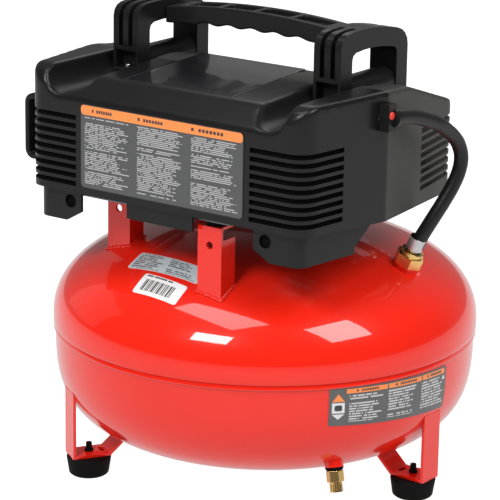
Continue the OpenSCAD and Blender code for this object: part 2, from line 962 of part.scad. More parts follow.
module cooling_fan() {
    blades = 9;
    color([0.2, 0.2, 0.2])
        difference() {
            along_y(motor_x, -32, axis_z) {
                cylinder(r = 11, h = 18);
                cylinder(r = 34, h = 2);
                for (i = [0:blades - 1])
                    rotate([0, 0, 360 * i / blades])
                        translate([9, 2, 1]) rotate([0, 0, 15]) cube([23, 2, 15]);
            }
            along_y(motor_x, -33, axis_z) cylinder(r = 4 + fit, h = 20);
        }
}

// ---------------------------------------------------------------- controls

module tank_riser() {
    low = crown_at(norm(riser_xy)) + bung_h;
    color("goldenrod")
        translate([riser_xy[0], riser_xy[1], 0])
            difference() {
                union() {
                    translate([0, 0, low]) hexagon(20, 10);
                    translate([0, 0, low]) cylinder(r = 7, h = manifold_z - 9 - low);
                }
                translate([0, 0, low - 1]) cylinder(r = 4, h = 60);
            }
}

module manifold() {
    color("silver")
        difference() {
            block([-92, 70, manifold_z - 9], [92, 100, manifold_z + 9]);
            along_x(-90, 85, manifold_z) cylinder(r = 4, h = 180);
            for (x = [-coupler_x, coupler_x]) along_y(x, 85, manifold_z) cylinder(r = 3, h = 20);
            translate([riser_xy[0], riser_xy[1], manifold_z - 10]) cylinder(r = 3.5, h = 10);
        }
}

module regulator_body() {
    color("silver") {
        block([-15, 76, manifold_z + 9], [15, 102, regulator_z + 16]);
        along_y(0, 102, regulator_z) cylinder(r = 8, h = 8);
        along_y(0, 110, regulator_z) cylinder(r = 4, h = 14);
    }
}

module regulator_knob() {
    ribs = 18;
    color([0.1, 0.1, 0.1])
        along_y(0, panel_y + 2.5, regulator_z)
            difference() {
                union() {
                    cylinder(r = 18, h = 6);
                    translate([0, 0, 6]) cylinder(r = 16, h = 24);
                }
                translate([0, 0, -1]) cylinder(r = 4 + fit, h = 16);
                for (i = [0:ribs - 1])
                    rotate([0, 0, 360 * i / ribs])
                        translate([16.6, 0, 8]) cylinder(r = 1.4, h = 18);
            }
}

module gauge_cases() {
    color([0.1, 0.1, 0.1])
        for (x = [-gauge_x, gauge_x]) {
            difference() {
                along_y(x, 92, gauge_z) cylinder(r = 20, h = 26);
                along_y(x, 106, gauge_z) cylinder(r = 17.5, h = 13);
            }
            along_y(x, 105, gauge_z) cylinder(r = 1, h = 6);
            translate([x, 97, manifold_z + 9]) cylinder(r = 4.5, h = gauge_z - manifold_z - 28);
        }
}

module gauge_lenses() {
    color([0.8, 0.9, 0.95, 0.4])
        for (x = [-gauge_x, gauge_x]) along_y(x, 114, gauge_z) cylinder(r = 17.45, h = 2);
}

module needle(x) {
    color("white")
        difference() {
            translate([x, 0, gauge_z])
                rotate([0, -45, 0]) {
                    along_y(0, 107, 0) cylinder(r = 3, h = 2);
                    block([-0.8, 107.3, -14], [0.8, 108.7, 5]);
                }
            along_y(x, 106, gauge_z) cylinder(r = 1 + fit, h = 4);
        }
}

module tank_gauge_needle() {
    needle(-gauge_x);
}

module outlet_gauge_needle() {
    needle(gauge_x);
}

module coupler_bodies() {
    color("goldenrod")
        for (x = [-coupler_x, coupler_x])
            difference() {
                union() {
                    along_y(x, 100, manifold_z) rotate([0, 0, 30]) hexagon(18, 12);
                    along_y(x, 111, manifold_z) cylinder(r = 9.5, h = 35);
                    along_y(x, 143, manifold_z) cylinder(r = 11, h = 3);
                }
                along_y(x, 124, manifold_z) cylinder(r = coupler_bore_r, h = 30);
                along_y(x, 99, manifold_z) cylinder(r = 3, h = 30);
            }
}

module coupler_sleeve(x) {
    grooves = 5;
    color("silver")
        along_y(x, 122, manifold_z)
            difference() {
                tube(13, 9.5 + fit, 20.5);
                for (i = [0:grooves - 1])
                    translate([0, 0, 4 + 3 * i])
                        tube(14, 12.4, 1.2);
            }
}

module coupler_left_sleeve() {
    coupler_sleeve(-coupler_x);
}

module coupler_right_sleeve() {
    coupler_sleeve(coupler_x);
}

module safety_valve() {
    color("goldenrod") {
        along_y(84, 100, manifold_z) hexagon(14, 12);
        along_y(84, 112, manifold_z) cylinder(r = 6, h = 12);
        along_y(84, 124, manifold_z) cylinder(r = 1.5, h = 5);
    }
}

module safety_valve_ring() {
    color("silver")
        difference() {
            union() {
                along_y(84, 124.5, manifold_z) cylinder(r = 3.2, h = 6);
                translate([84, 140, manifold_z - 1]) tube(11, 9, 2);
            }
            along_y(84, 124, manifold_z) cylinder(r = 1.5 + fit, h = 5.5);
        }
}

module pressure_switch() {
    color([0.12, 0.12, 0.12])
        difference() {
            union() {
                block([-122, 66, manifold_z + 15], [-80, 101, 356]);
                translate([-86, 85, manifold_z + 9]) cylinder(r = 6, h = 6);
            }
            block([-109, 88, 328], [-95, 102, 357]);
            along_x(-112, lever_pivot[1], lever_pivot[2]) cylinder(r = 1.5 + fit, h = 20);
        }
}

module pressure_switch_lever() {
    color("red")
        translate([0, lever_pivot[1], lever_pivot[2]])
            rotate([lever_rest, 0, 0]) {
                along_x(-111.5, 0, 0) cylinder(r = 1.5, h = 19);
                along_x(-107, 0, 0) cylinder(r = 4.5, h = 10);
                block([-107, 0, -2.5], [-97, 30, 2.5]);
                along_x(-107, 29, 0) cylinder(r = 4, h = 10);
            }
}

tank_upper_shell();
tank_lower_shell();
leg(leg_angles[0]);  // leg_right
leg(leg_angles[1]);  // leg_rear
leg(leg_angles[2]);  // leg_front
foot(leg_angles[0]);  // foot_right
foot(leg_angles[1]);  // foot_rear
foot(leg_angles[2]);  // foot_front
mount_posts();
tank_bungs();
drain_valve();
drain_knob();
check_valve();
hose_ferrule();
discharge_hose();
hose_elbow();
head_outlet_pipe();
tank_riser();
manifold();
regulator_body();
regulator_knob();
gauge_cases();
gauge_lenses();
tank_gauge_needle();
outlet_gauge_needle();
coupler_bodies();
coupler_left_sleeve();
coupler_right_sleeve();
safety_valve();
safety_valve_ring();
pressure_switch();
pressure_switch_lever();
power_inlet_gland();
rear_shroud();
front_shroud();
top_panel();
cord_wrap();
handle_left_frame();
handle_right_frame();
handle_grip();
handle_screws();
pump_base();
isolators();
pump_bolts();
crankcase();
crank_bearings();
cylinder_barrel();  // cylinder
valve_plate();
cylinder_head();
intake_filter();
piston();
connecting_rod();
wrist_pin();
flywheel();
drive_belt();
motor_stator();
motor_brackets();
motor_rotor();
cooling_fan();
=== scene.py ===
"""Looks of a pancake air compressor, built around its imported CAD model.

Every sub-assembly is a class that shapes its pieces and gives them their finishes. Sizes are
in millimetres, in the CAD model's frame, and the pieces come out in metres.
"""

import logging
import math
from dataclasses import dataclass
from enum import Enum
from functools import wraps
from typing import Callable, Optional, Sequence

import bmesh
import bpy
from mathutils import Matrix, Vector


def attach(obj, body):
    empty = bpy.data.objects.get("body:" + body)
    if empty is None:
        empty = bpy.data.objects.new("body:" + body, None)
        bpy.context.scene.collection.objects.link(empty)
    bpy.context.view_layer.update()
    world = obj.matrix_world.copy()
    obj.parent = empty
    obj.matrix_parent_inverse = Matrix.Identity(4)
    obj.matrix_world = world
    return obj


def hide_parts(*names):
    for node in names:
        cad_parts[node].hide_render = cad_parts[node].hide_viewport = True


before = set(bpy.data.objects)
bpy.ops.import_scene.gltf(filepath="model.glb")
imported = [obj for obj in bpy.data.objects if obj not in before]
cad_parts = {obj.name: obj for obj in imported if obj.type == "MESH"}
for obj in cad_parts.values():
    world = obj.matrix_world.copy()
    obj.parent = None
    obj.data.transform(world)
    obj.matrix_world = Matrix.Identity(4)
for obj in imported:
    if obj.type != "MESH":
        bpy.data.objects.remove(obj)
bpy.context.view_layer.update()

LOG = logging.getLogger("compressor")
MM = 0.001

Colour = tuple[float, float, float]
Point = tuple[float, float]
Window = tuple[float, float, float, float]
Place = Callable[[float, float], Vector]
Sockets = bpy.types.bpy_prop_collection
Wires = dict[str, bpy.types.NodeSocket]


class Body(str, Enum):
    """The CAD bodies that pieces ride on."""

    ROOT = "root"
    CRANK = "crank"
    ROD = "rod"
    PISTON = "piston"
    ROTOR = "rotor"
    DRAIN_KNOB = "drain_knob"
    REGULATOR_KNOB = "regulator_knob"
    SWITCH_LEVER = "switch_lever"
    TANK_NEEDLE = "tank_needle"
    OUTLET_NEEDLE = "outlet_needle"
    LEFT_SLEEVE = "left_sleeve"
    RIGHT_SLEEVE = "right_sleeve"
    RELIEF_RING = "relief_ring"


# ------------------------------------------------------------------ node graphs


@dataclass
class Graph:
    """A node tree that is being wired."""

    tree: bpy.types.NodeTree

    def add(self, kind: str, **settings: object) -> bpy.types.Node:
        """Adds a node.

        Args:
            kind: the node's type, without the ShaderNode prefix.
            settings: properties, and input values by their names with spaces as underscores.

        Returns:
            The node.
        """
        node = self.tree.nodes.new("ShaderNode" + kind)
        for key, value in settings.items():
            if hasattr(node, key):
                setattr(node, key, value)
            else:
                node.inputs[key.replace("_", " ")].default_value = value
        return node

    def link(self, source: object, target: bpy.types.NodeSocket) -> None:
        """Feeds an input from a socket, or sets it to a number or a colour.

        Args:
            source: the socket, number or colour.
            target: the input.
        """
        if isinstance(source, bpy.types.NodeSocket):
            self.tree.links.new(source, target)
        elif isinstance(source, (int, float)):
            target.default_value = source
        else:
            target.default_value = (*source, 1.0)

    def math(self, operation: str, first: object, second: object = 0.0,
             clamp: bool = False) -> bpy.types.NodeSocket:
        """Adds a Math node.

        Args:
            operation: the node's operation.
            first: a socket or a number.
            second: a socket or a number.
            clamp: keeps the result between 0 and 1.

        Returns:
            The node's output.
        """
        node = self.add("Math", operation=operation, use_clamp=clamp)
        self.link(first, node.inputs[0])
        self.link(second, node.inputs[1])
        return node.outputs[0]

    def mix(self, factor: object, low: object, high: object) -> bpy.types.NodeSocket:
        """Mixes two colours.

        Args:
            factor: a socket or a number.
            low: the colour, or its socket, at factor 0.
            high: the colour, or its socket, at factor 1.

        Returns:
            The mixed colour's socket.
        """
        node = self.add("Mix", data_type="RGBA")
        for index, value in ((0, factor), (6, low), (7, high)):
            self.link(value, node.inputs[index])
        return node.outputs[2]

    def noise(self, vector: bpy.types.NodeSocket, scale: object, detail: float = 3.0) -> bpy.types.NodeSocket:
        """Adds a Noise texture.

        Args:
            vector: the coordinates.
            scale: a number or a socket.
            detail: octaves of detail.

        Returns:
            The factor's socket.
        """
        node = self.add("TexNoise", Detail=detail)
        self.link(vector, node.inputs["Vector"])
        self.link(scale, node.inputs["Scale"])
        return node.outputs["Fac"]


def shader_group(inputs: dict[str, float], outputs: dict[str, str]) -> Callable:
    """Turns a wiring function into one that gives its node group, built once.

    Args:
        inputs: the default of each number that the group takes.
        outputs: the socket type of each thing that it puts out.

    Returns:
        The decorator.
    """
    def wrap(wire: Callable[[Graph, Sockets, Sockets], Wires]) -> Callable[[], bpy.types.NodeTree]:
        """Decorates one wiring function.

        Args:
            wire: wires the group and gives what each output gets.

        Returns:
            The function that gives the node group.
        """
        @wraps(wire)
        def group() -> bpy.types.NodeTree:
            """Gives the node group.

            Returns:
                The group, built the first time.
            """
            name = wire.__name__
            if name in bpy.data.node_groups:
                return bpy.data.node_groups[name]
            tree = bpy.data.node_groups.new(name, "ShaderNodeTree")
            for label, default in inputs.items():
                socket = tree.interface.new_socket(label, in_out="INPUT", socket_type="NodeSocketFloat")
                socket.default_value = default
            for label, kind in outputs.items():
                tree.interface.new_socket(label, in_out="OUTPUT", socket_type="NodeSocket" + kind)
            g = Graph(tree)
            given, end = tree.nodes.new("NodeGroupInput"), tree.nodes.new("NodeGroupOutput")
            for label, socket in wire(g, g.add("TexCoord").outputs, given.outputs).items():
                g.link(socket, end.inputs[label])
            return tree
        return group
    return wrap


@shader_group({"Scale": 900.0, "Depth": 0.3}, {"Normal": "Vector", "Mask": "Float"})
def moulded_grain(g: Graph, place: Sockets, given: Sockets) -> Wires:
    """Fine pebbled texture of moulded plastic and cast metal.

    Args:
        g: the group's graph.
        place: the texture coordinates.
        given: the group's inputs.

    Returns:
        A bumped Normal and a Mask of the pebbles.
    """
    fine = g.noise(place["Object"], given["Scale"], 2.0)
    broad = g.noise(place["Object"], g.math("MULTIPLY", given["Scale"], 0.31), 1.0)
    height = g.math("ADD", g.math("MULTIPLY", fine, 0.6), g.math("MULTIPLY", broad, 0.4))
    bump = g.add("Bump", Distance=0.0004)
    g.link(given["Depth"], bump.inputs["Strength"])
    g.link(height, bump.inputs["Height"])
    return {"Normal": bump.outputs["Normal"], "Mask": height}


@shader_group({"Base": 0.4, "Spread": 0.08, "Scale": 14.0}, {"Roughness": "Float", "Mask": "Float"})
def handling_marks(g: Graph, place: Sockets, given: Sockets) -> Wires:
    """Smears and scuffs that change how shiny a surface is.

    Args:
        g: the group's graph.
        place: the texture coordinates.
        given: the group's inputs.

    Returns:
        Roughness and a Mask of the marks.
    """
    broad = g.noise(place["Object"], given["Scale"], 5.0)
    stretched = g.add("Mapping", vector_type="POINT")
    stretched.inputs["Scale"].default_value = (1.0, 6.0, 2.0)
    g.link(place["Object"], stretched.inputs["Vector"])
    streaks = g.noise(stretched.outputs["Vector"], g.math("MULTIPLY", given["Scale"], 3.0), 4.0)
    mask = g.math("ADD", g.math("MULTIPLY", broad, 0.6), g.math("MULTIPLY", streaks, 0.4))
    swing = g.math("MULTIPLY", g.math("SUBTRACT", mask, 0.5), given["Spread"])
    return {"Roughness": g.math("ADD", given["Base"], g.math("MULTIPLY", swing, 2.0), True), "Mask": mask}


@shader_group({"Amount": 0.1}, {"Mask": "Float"})
def settled_dust(g: Graph, place: Sockets, given: Sockets) -> Wires:
    """Thin dust on what faces up.

    Args:
        g: the group's graph.
        place: the texture coordinates.
        given: the group's inputs.

    Returns:
        A Mask of the dust.
    """
    split = g.add("SeparateXYZ")
    g.link(place["Normal"], split.inputs[0])
    facing = g.math("POWER", g.math("MAXIMUM", split.outputs["Z"], 0.0), 2.0)
    patches = g.math("MULTIPLY", facing, g.noise(place["Object"], 60.0, 6.0))
    return {"Mask": g.math("MULTIPLY", patches, given["Amount"], True)}


@shader_group({"Rows": 20.0, "Columns": 3.0, "Low": 0.05, "High": 0.85, "Left": 0.0}, {"Mask": "Float"})
def printed_lines(g: Graph, place: Sockets, given: Sockets) -> Wires:
    """Rows of short dashes in columns, as small print looks from afar. It forms no letters.

    Args:
        g: the group's graph.
        place: the texture coordinates.
        given: the group's inputs.

    Returns:
        A Mask of the ink.
    """
    split = g.add("SeparateXYZ")
    g.link(place["UV"], split.inputs[0])
    across = g.math("DIVIDE", g.math("SUBTRACT", split.outputs["X"], given["Left"]),
                    g.math("SUBTRACT", 1.0, given["Left"]))
    columned = g.math("MULTIPLY", across, given["Columns"])
    inside, column = g.math("FRACT", columned), g.math("FLOOR", columned)
    lined = g.math("MULTIPLY", split.outputs["Y"], given["Rows"])
    row, height = g.math("FLOOR", lined), g.math("FRACT", lined)

    def chance(first: bpy.types.NodeSocket, second: bpy.types.NodeSocket) -> bpy.types.NodeSocket:
        """A random number for a pair of whole numbers.

        Args:
            first: one number's socket.
            second: the other's.

        Returns:
            The random number's socket.
        """
        joined = g.add("CombineXYZ")
        g.link(first, joined.inputs[0])
        g.link(second, joined.inputs[1])
        node = g.add("TexWhiteNoise", noise_dimensions="2D")
        g.link(joined.outputs[0], node.inputs["Vector"])
        return node.outputs["Value"]

    line_end = g.math("ADD", 0.66, g.math("MULTIPLY", chance(column, row), 0.26))
    word = g.math("FLOOR", g.math("MULTIPLY", columned, 34.0))
    parts = [
        g.math("GREATER_THAN", inside, 0.07), g.math("LESS_THAN", inside, line_end),
        g.math("GREATER_THAN", height, 0.28), g.math("LESS_THAN", height, 0.8),
        g.math("GREATER_THAN", split.outputs["Y"], given["Low"]),
        g.math("LESS_THAN", split.outputs["Y"], given["High"]), g.math("GREATER_THAN", across, 0.0),
        g.math("GREATER_THAN", chance(word, row), 0.16),
        g.math("GREATER_THAN", chance(row, g.math("ADD", column, 7.0)), 0.12),
    ]
    mask = parts[0]
    for part in parts[1:]:
        mask = g.math("MULTIPLY", mask, part)
    return {"Mask": mask}


# ------------------------------------------------------------------ finishes


@dataclass(frozen=True)
class Finish:
    """What a surface is made of. Subclasses wire the shader."""

    name: str
    slot: Optional[str] = None

    def material(self) -> bpy.types.Material:
        """The finish's material, made once.

        Returns:
            The material.
        """
        if self.name in bpy.data.materials:
            return bpy.data.materials[self.name]
        material = bpy.data.materials.new(self.name)
        material.use_nodes = True
        graph = Graph(material.node_tree)
        self.dress(graph, material.node_tree.nodes["Principled BSDF"])
        return material

    def dress(self, g: Graph, shader: bpy.types.Node) -> None:
        """Wires the shader.

        Args:
            g: the material's graph.
            shader: its Principled BSDF.
        """
        raise NotImplementedError

    def group(self, g: Graph, tree: bpy.types.NodeTree, **values: float) -> Sockets:
        """Places a node group with its own values and gives its outputs.

        Args:
            g: the material's graph.
            tree: the node group.
            values: the group's inputs.

        Returns:
            The outputs.
        """
        node = g.add("Group", node_tree=tree)
        for key, value in values.items():
            node.inputs[key].default_value = value
        return node.outputs

    def wear(self, g: Graph, shader: bpy.types.Node, base: float, spread: float,
             scale: float) -> bpy.types.NodeSocket:
        """Wires smears to the roughness.

        Args:
            g: the material's graph.
            shader: its Principled BSDF.
            base: the mean roughness.
            spread: how far it swings.
            scale: how fine the smears are.

        Returns:
            The smears' mask.
        """
        marks = self.group(g, handling_marks(), Base=base, Spread=spread, Scale=scale)
        g.link(marks["Roughness"], shader.inputs["Roughness"])
        return marks["Mask"]

    def pebble(self, g: Graph, shader: bpy.types.Node, scale: float, depth: float) -> None:
        """Wires a fine grain to the normal."""
        g.link(self.group(g, moulded_grain(), Scale=scale, Depth=depth)["Normal"], shader.inputs["Normal"])

    def fix(self, shader: bpy.types.Node, **values: float) -> None:
        """Sets what is the same all over the surface."""
        for key, value in values.items():
            shader.inputs[key.replace("_", " ")].default_value = value


@dataclass(frozen=True)
class Enamel(Finish):
    """Thick glossy paint with a faint orange peel."""

    colour: Colour = (0.82, 0.015, 0.0035)
    deep: Colour = (0.75, 0.012, 0.003)
    peel: float = 0.01

    def dress(self, g: Graph, shader: bpy.types.Node) -> None:
        """Wires colour, coat and peel.

        Args:
            g: the material's graph.
            shader: its Principled BSDF.
        """
        dust = self.group(g, settled_dust(), Amount=0.015)["Mask"]
        base = g.mix(self.wear(g, shader, 0.3, 0.04, 6.0), self.colour, self.deep)
        g.link(g.mix(dust, base, (0.75, 0.6, 0.55)), shader.inputs["Base Color"])
        self.pebble(g, shader, 160.0, self.peel)
        self.fix(shader, Coat_Weight=1.0, Coat_Roughness=0.03, Coat_IOR=1.5, Specular_IOR_Level=0.1)


@dataclass(frozen=True)
class Moulded(Finish):
    """Moulded plastic or rubber: a body colour, a grain and a sheen."""

    colour: Colour = (0.03, 0.03, 0.03)
    light: Colour = (0.045, 0.045, 0.046)
    roughness: float = 0.5
    spread: float = 0.08
    grain: float = 900.0
    depth: float = 0.35
    specular: float = 0.5
    coat: float = 0.0
    coat_blur: float = 0.12
    dust: float = 0.05

    def dress(self, g: Graph, shader: bpy.types.Node) -> None:
        """Wires colour, grain, smears and dust.

        Args:
            g: the material's graph.
            shader: its Principled BSDF.
        """
        dust = self.group(g, settled_dust(), Amount=self.dust)["Mask"]
        body = g.mix(self.wear(g, shader, self.roughness, self.spread, 16.0), self.colour, self.light)
        g.link(g.mix(dust, body, (0.30, 0.29, 0.27)), shader.inputs["Base Color"])
        self.pebble(g, shader, self.grain, self.depth)
        self.fix(shader, Specular_IOR_Level=self.specular, Coat_Weight=self.coat, Coat_Roughness=self.coat_blur)


@dataclass(frozen=True)
class Metal(Finish):
    """Bare or plated metal, cast, turned or rolled."""

    colour: Colour = (0.6, 0.6, 0.61)
    tarnish: Colour = (0.4, 0.4, 0.41)
    roughness: float = 0.3
    spread: float = 0.12
    grain: float = 500.0
    depth: float = 0.15

    def dress(self, g: Graph, shader: bpy.types.Node) -> None:
        """Wires colour, tarnish, roughness and grain.

        Args:
            g: the material's graph.
            shader: its Principled BSDF.
        """
        mask = self.wear(g, shader, self.roughness, self.spread, 40.0)
        g.link(g.mix(mask, self.colour, self.tarnish), shader.inputs["Base Color"])
        self.pebble(g, shader, self.grain, self.depth)
        self.fix(shader, Metallic=1.0)


@dataclass(frozen=True)
class Lens(Finish):
    """A clear window with a few smears."""

    def dress(self, g: Graph, shader: bpy.types.Node) -> None:
        """Wires a plain glass with smeared roughness.

        Args:
            g: the material's graph.
            shader: its Principled BSDF.
        """
        mask = self.wear(g, shader, 0.04, 0.03, 60.0)
        g.link(g.mix(mask, (0.96, 0.98, 0.98), (1.0, 1.0, 1.0)), shader.inputs["Base Color"])
        self.fix(shader, Transmission_Weight=1.0, IOR=1.2)


@dataclass(frozen=True)
class Printed(Finish):
    """A printed film: a ground colour, ink in rows and columns, and a satin face."""

    ground: Colour = (0.12, 0.12, 0.12)
    ink: Colour = (0.55, 0.55, 0.55)
    rows: float = 26.0
    columns: float = 3.0
    low: float = 0.05
    high: float = 0.84
    left: float = 0.0
    roughness: float = 0.35
    metallic: float = 0.0

    def dress(self, g: Graph, shader: bpy.types.Node) -> None:
        """Wires ground, ink and smears.

        Args:
            g: the material's graph.
            shader: its Principled BSDF.
        """
        lines = self.group(g, printed_lines(), Rows=self.rows, Columns=self.columns, Low=self.low,
                           High=self.high, Left=self.left)["Mask"]
        mask = self.wear(g, shader, self.roughness, 0.06, 30.0)
        tint = g.mix(mask, self.ground, tuple(0.86 * c for c in self.ground))
        g.link(g.mix(lines, tint, self.ink), shader.inputs["Base Color"])
        self.fix(shader, Metallic=self.metallic, Coat_Weight=0.3, Coat_Roughness=0.15)


def grey(level: float) -> Colour:
    """An even grey."""
    return (level, level, level)


def plain_ink(name: str, ground: Colour, slot: str = "panel_plastic", roughness: float = 0.35) -> Printed:
    """A printed film of one colour, with no rows on it."""
    return Printed(name, slot, ground=ground, rows=1.0, high=0.0, roughness=roughness)


RED_ENAMEL = Enamel("red_enamel", "tank_paint")
SHROUD_REAR = Moulded("shroud_rear_black", "black_plastic", colour=(0.005, 0.005, 0.0053),
                      light=(0.009, 0.009, 0.0094), roughness=0.3, spread=0.04, grain=1300.0, depth=0.07,
                      specular=0.3, dust=0.003)
SHROUD_FRONT = Moulded("shroud_front_black", "black_plastic", colour=(0.026, 0.0265, 0.0245),
                       light=(0.036, 0.0365, 0.034), roughness=0.46, grain=1300.0, depth=0.22, specular=0.3,
                       dust=0.012)
HANDLE_BLACK = Moulded("handle_black", "handle_plastic", colour=grey(0.006), light=grey(0.012), roughness=0.3,
                       grain=1500.0, depth=0.12, specular=0.2, dust=0.006)
TOP_GLOSS = Moulded("top_gloss", "panel_plastic", colour=(0.010, 0.010, 0.0115), light=(0.016, 0.016, 0.018),
                    roughness=0.2, spread=0.04, grain=300.0, depth=0.02, coat=1.0, coat_blur=0.03, dust=0.01)
FOOT_RUBBER = Moulded("foot_rubber_black", "foot_rubber", colour=grey(0.004), light=grey(0.008), roughness=0.6,
                      grain=1100.0, depth=0.3, specular=0.06, dust=0.006)
HOSE_RUBBER = Moulded("hose_rubber_black", "hose_rubber", colour=grey(0.008), light=grey(0.014), roughness=0.36,
                      grain=700.0, depth=0.12, specular=0.3, dust=0.008)
PUMP_PLASTIC = Moulded("pump_plastic", "black_plastic", colour=grey(0.012), light=grey(0.02), roughness=0.55)
# painted shade: matte black for the sheets behind the rear slots and the skirt holes, standing for shade inside
# the shroud; also the drain's real thread sealant
SHADE_AND_SEALANT_BLACK = Moulded("painted_shade_and_sealant_black", "black_plastic", colour=grey(0.002), light=grey(0.004), roughness=0.9,
                      specular=0.1, dust=0.0)
# painted shade: dark grey sheets behind the front slots, standing for the shaded inside seen through them
FRONT_SLOT_SHADE = Moulded("front_slot_painted_shade", "black_plastic", colour=(0.05, 0.048, 0.045),
                    light=(0.09, 0.085, 0.08), roughness=0.9, grain=350.0, depth=0.8, specular=0.1, dust=0.0)
FAN_PLASTIC = Moulded("fan_black", "fan_plastic", colour=(0.03, 0.03, 0.035), roughness=0.45)
KNOB_PLASTIC = Moulded("knob_black", "black_plastic", colour=grey(0.016), light=grey(0.03),
                       roughness=0.42, grain=1500.0, depth=0.2)
BELT_RUBBER = Moulded("belt_black", "belt_rubber", colour=grey(0.012), roughness=0.7)
GAUGE_BLACK = Moulded("gauge_black_enamel", "gauge_black", colour=grey(0.012), roughness=0.25,
                      grain=300.0, depth=0.03, coat=0.5)
RED_PLASTIC = Moulded("lever_red_plastic", "lever_red", colour=(0.62, 0.03, 0.02), light=(0.7, 0.05, 0.03),
                      roughness=0.35, depth=0.1)
NEEDLE_PAINT = Moulded("needle_red_paint", "needle_white", colour=(0.7, 0.05, 0.02), light=(0.8, 0.08, 0.03),
                       roughness=0.4, depth=0.05)
BRASS = Metal("machined_brass", "brass", colour=(0.90, 0.62, 0.24), tarnish=(0.78, 0.50, 0.17), roughness=0.27,
              spread=0.06, depth=0.04)
PLATED = Metal("zinc_plate", "plated_steel", colour=(0.66, 0.66, 0.67), tarnish=(0.46, 0.46, 0.48),
               roughness=0.28)
DARK_STEEL = Metal("dark_pressed_steel", "pressed_steel", colour=(0.25, 0.26, 0.27), tarnish=(0.12, 0.12, 0.13),
                   roughness=0.45)
ALUMINIUM = Metal("cast_aluminium", "cast_aluminium", colour=(0.60, 0.61, 0.62), tarnish=(0.40, 0.40, 0.41),
                  roughness=0.45, grain=420.0, depth=0.5)
IRON = Metal("flywheel_iron", "flywheel_iron", colour=(0.12, 0.12, 0.125), tarnish=grey(0.07),
             roughness=0.5, depth=0.4)
LAMINATED = Metal("laminated_steel", "motor_steel", colour=(0.30, 0.31, 0.33), tarnish=(0.18, 0.18, 0.19),
                  roughness=0.4)
CLEAR = Lens("clear_lens", "lens_glass")
LABEL_DARK = plain_ink("label_edge_ink", grey(0.03))
LABEL_ORANGE = plain_ink("label_orange", (0.95, 0.26, 0.055))
LABEL_WHITE = plain_ink("label_white_ink", grey(0.7))
LABEL_BLACK = plain_ink("label_black_ink", grey(0.02))
REAR_PRINT = Printed("rear_label_print", "panel_plastic", ground=(0.07, 0.071, 0.072), ink=grey(0.40),
                     rows=44.0, high=0.865)
SILVER_PRINT = Printed("silver_label_print", "plated_steel", ground=(0.66, 0.74, 0.77), ink=(0.06, 0.07, 0.08),
                       rows=9.0, columns=2.0, low=0.06, high=0.95, roughness=0.4, metallic=0.1)
WHITE_PRINT = Printed("white_label_print", "panel_plastic", ground=grey(0.86), ink=grey(0.05),
                      rows=6.0, columns=1.0, low=0.8, high=0.96)
BOWL_PRINT = Printed("bowl_label_print", "panel_plastic", ground=(0.092, 0.094, 0.094), rows=15.0, low=0.10,
                     high=0.80, left=0.12)
DIAL_FACE = plain_ink("dial_face", (0.80, 0.80, 0.78), "gauge_black", 0.45)
DIAL_INK = plain_ink("dial_ink", grey(0.02), "gauge_black", 0.45)


# ------------------------------------------------------------------ modelling


def placed(name: str, data: bpy.types.ID) -> bpy.types.Object:
    """Puts a mesh, curve, lamp or camera in the scene as an object.

    Args:
        name: the object's name.
        data: the mesh, curve, lamp or camera.

    Returns:
        The object.
    """
    thing = bpy.data.objects.new(name, data)
    bpy.context.scene.collection.objects.link(thing)
    return thing


def mesh_of(name: str, bm: bmesh.types.BMesh) -> bpy.types.Mesh:
    """Turns a bmesh into a mesh and frees it.

    Args:
        name: the mesh's name.
        bm: the bmesh.

    Returns:
        The mesh.
    """
    mesh = bpy.data.meshes.new(name)
    bm.to_mesh(mesh)
    bm.free()
    return mesh


def discard(thing: bpy.types.Object) -> None:
    """Removes a working object and its mesh or curve.

    Args:
        thing: the working object.
    """
    data = thing.data
    store = bpy.data.meshes if isinstance(data, bpy.types.Mesh) else bpy.data.curves
    bpy.data.objects.remove(thing)
    store.remove(data)


def absorb(whole: bmesh.types.BMesh, part: bmesh.types.BMesh) -> None:
    """Adds one bmesh to another and frees it.

    Args:
        whole: the bmesh that grows.
        part: the one that it takes in.
    """
    mesh = mesh_of("part", part)
    whole.from_mesh(mesh)
    bpy.data.meshes.remove(mesh)


def solid_of(curve: bpy.types.Curve, weld: float = 1e-6) -> bmesh.types.BMesh:
    """Turns a curve or text into a closed bmesh and removes it.

    Args:
        curve: the curve.
        weld: points nearer than this, in metres, become one.

    Returns:
        The solid.
    """
    holder = placed(curve.name, curve)
    bpy.context.view_layer.update()
    mesh = bpy.data.meshes.new_from_object(holder)
    bm = bmesh.new()
    bm.from_mesh(mesh)
    bmesh.ops.remove_doubles(bm, verts=bm.verts, dist=weld)
    bpy.data.meshes.remove(mesh)
    discard(holder)
    return bm


def add_piece(name: str, bm: bmesh.types.BMesh, finish: Finish, body: Body = Body.ROOT,
              stands_for: Sequence[str] = (), sharp: float = 34.0) -> bpy.types.Object:
    """Turns a finished bmesh into a piece that rides on a body.

    Args:
        name: the piece's name.
        bm: its shape, in metres in the CAD frame. It is freed.
        finish: its finish.
        body: the CAD body it rides on.
        stands_for: CAD nodes it replaces.
        sharp: edges bent more than this many degrees stay crisp.

    Returns:
        The piece.
    """
    for face in bm.faces:
        face.smooth = True
    mesh = mesh_of(name, bm)
    mesh.set_sharp_from_angle(angle=math.radians(sharp))
    piece = placed(name, mesh)
    mesh.materials.append(finish.material())
    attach(piece, body.value)
    if stands_for:
        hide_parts(*stands_for)
    LOG.info("%s: %d faces", name, len(mesh.polygons))
    return piece


def merged(*nodes: str, angle: float = 0.6) -> bmesh.types.BMesh:
    """A merged copy of CAD nodes' meshes, with flat faces made whole.

    Args:
        nodes: the CAD nodes.
        angle: faces that differ by less than this many degrees are joined.

    Returns:
        The copy.
    """
    bm = bmesh.new()
    for node in nodes:
        bm.from_mesh(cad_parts[node].data)
    bmesh.ops.remove_doubles(bm, verts=bm.verts, dist=4e-6)
    bmesh.ops.dissolve_degenerate(bm, dist=1e-6, edges=bm.edges)
    bmesh.ops.dissolve_limit(bm, angle_limit=math.radians(angle), verts=bm.verts, edges=bm.edges,
                             use_dissolve_boundaries=False)
    return bm


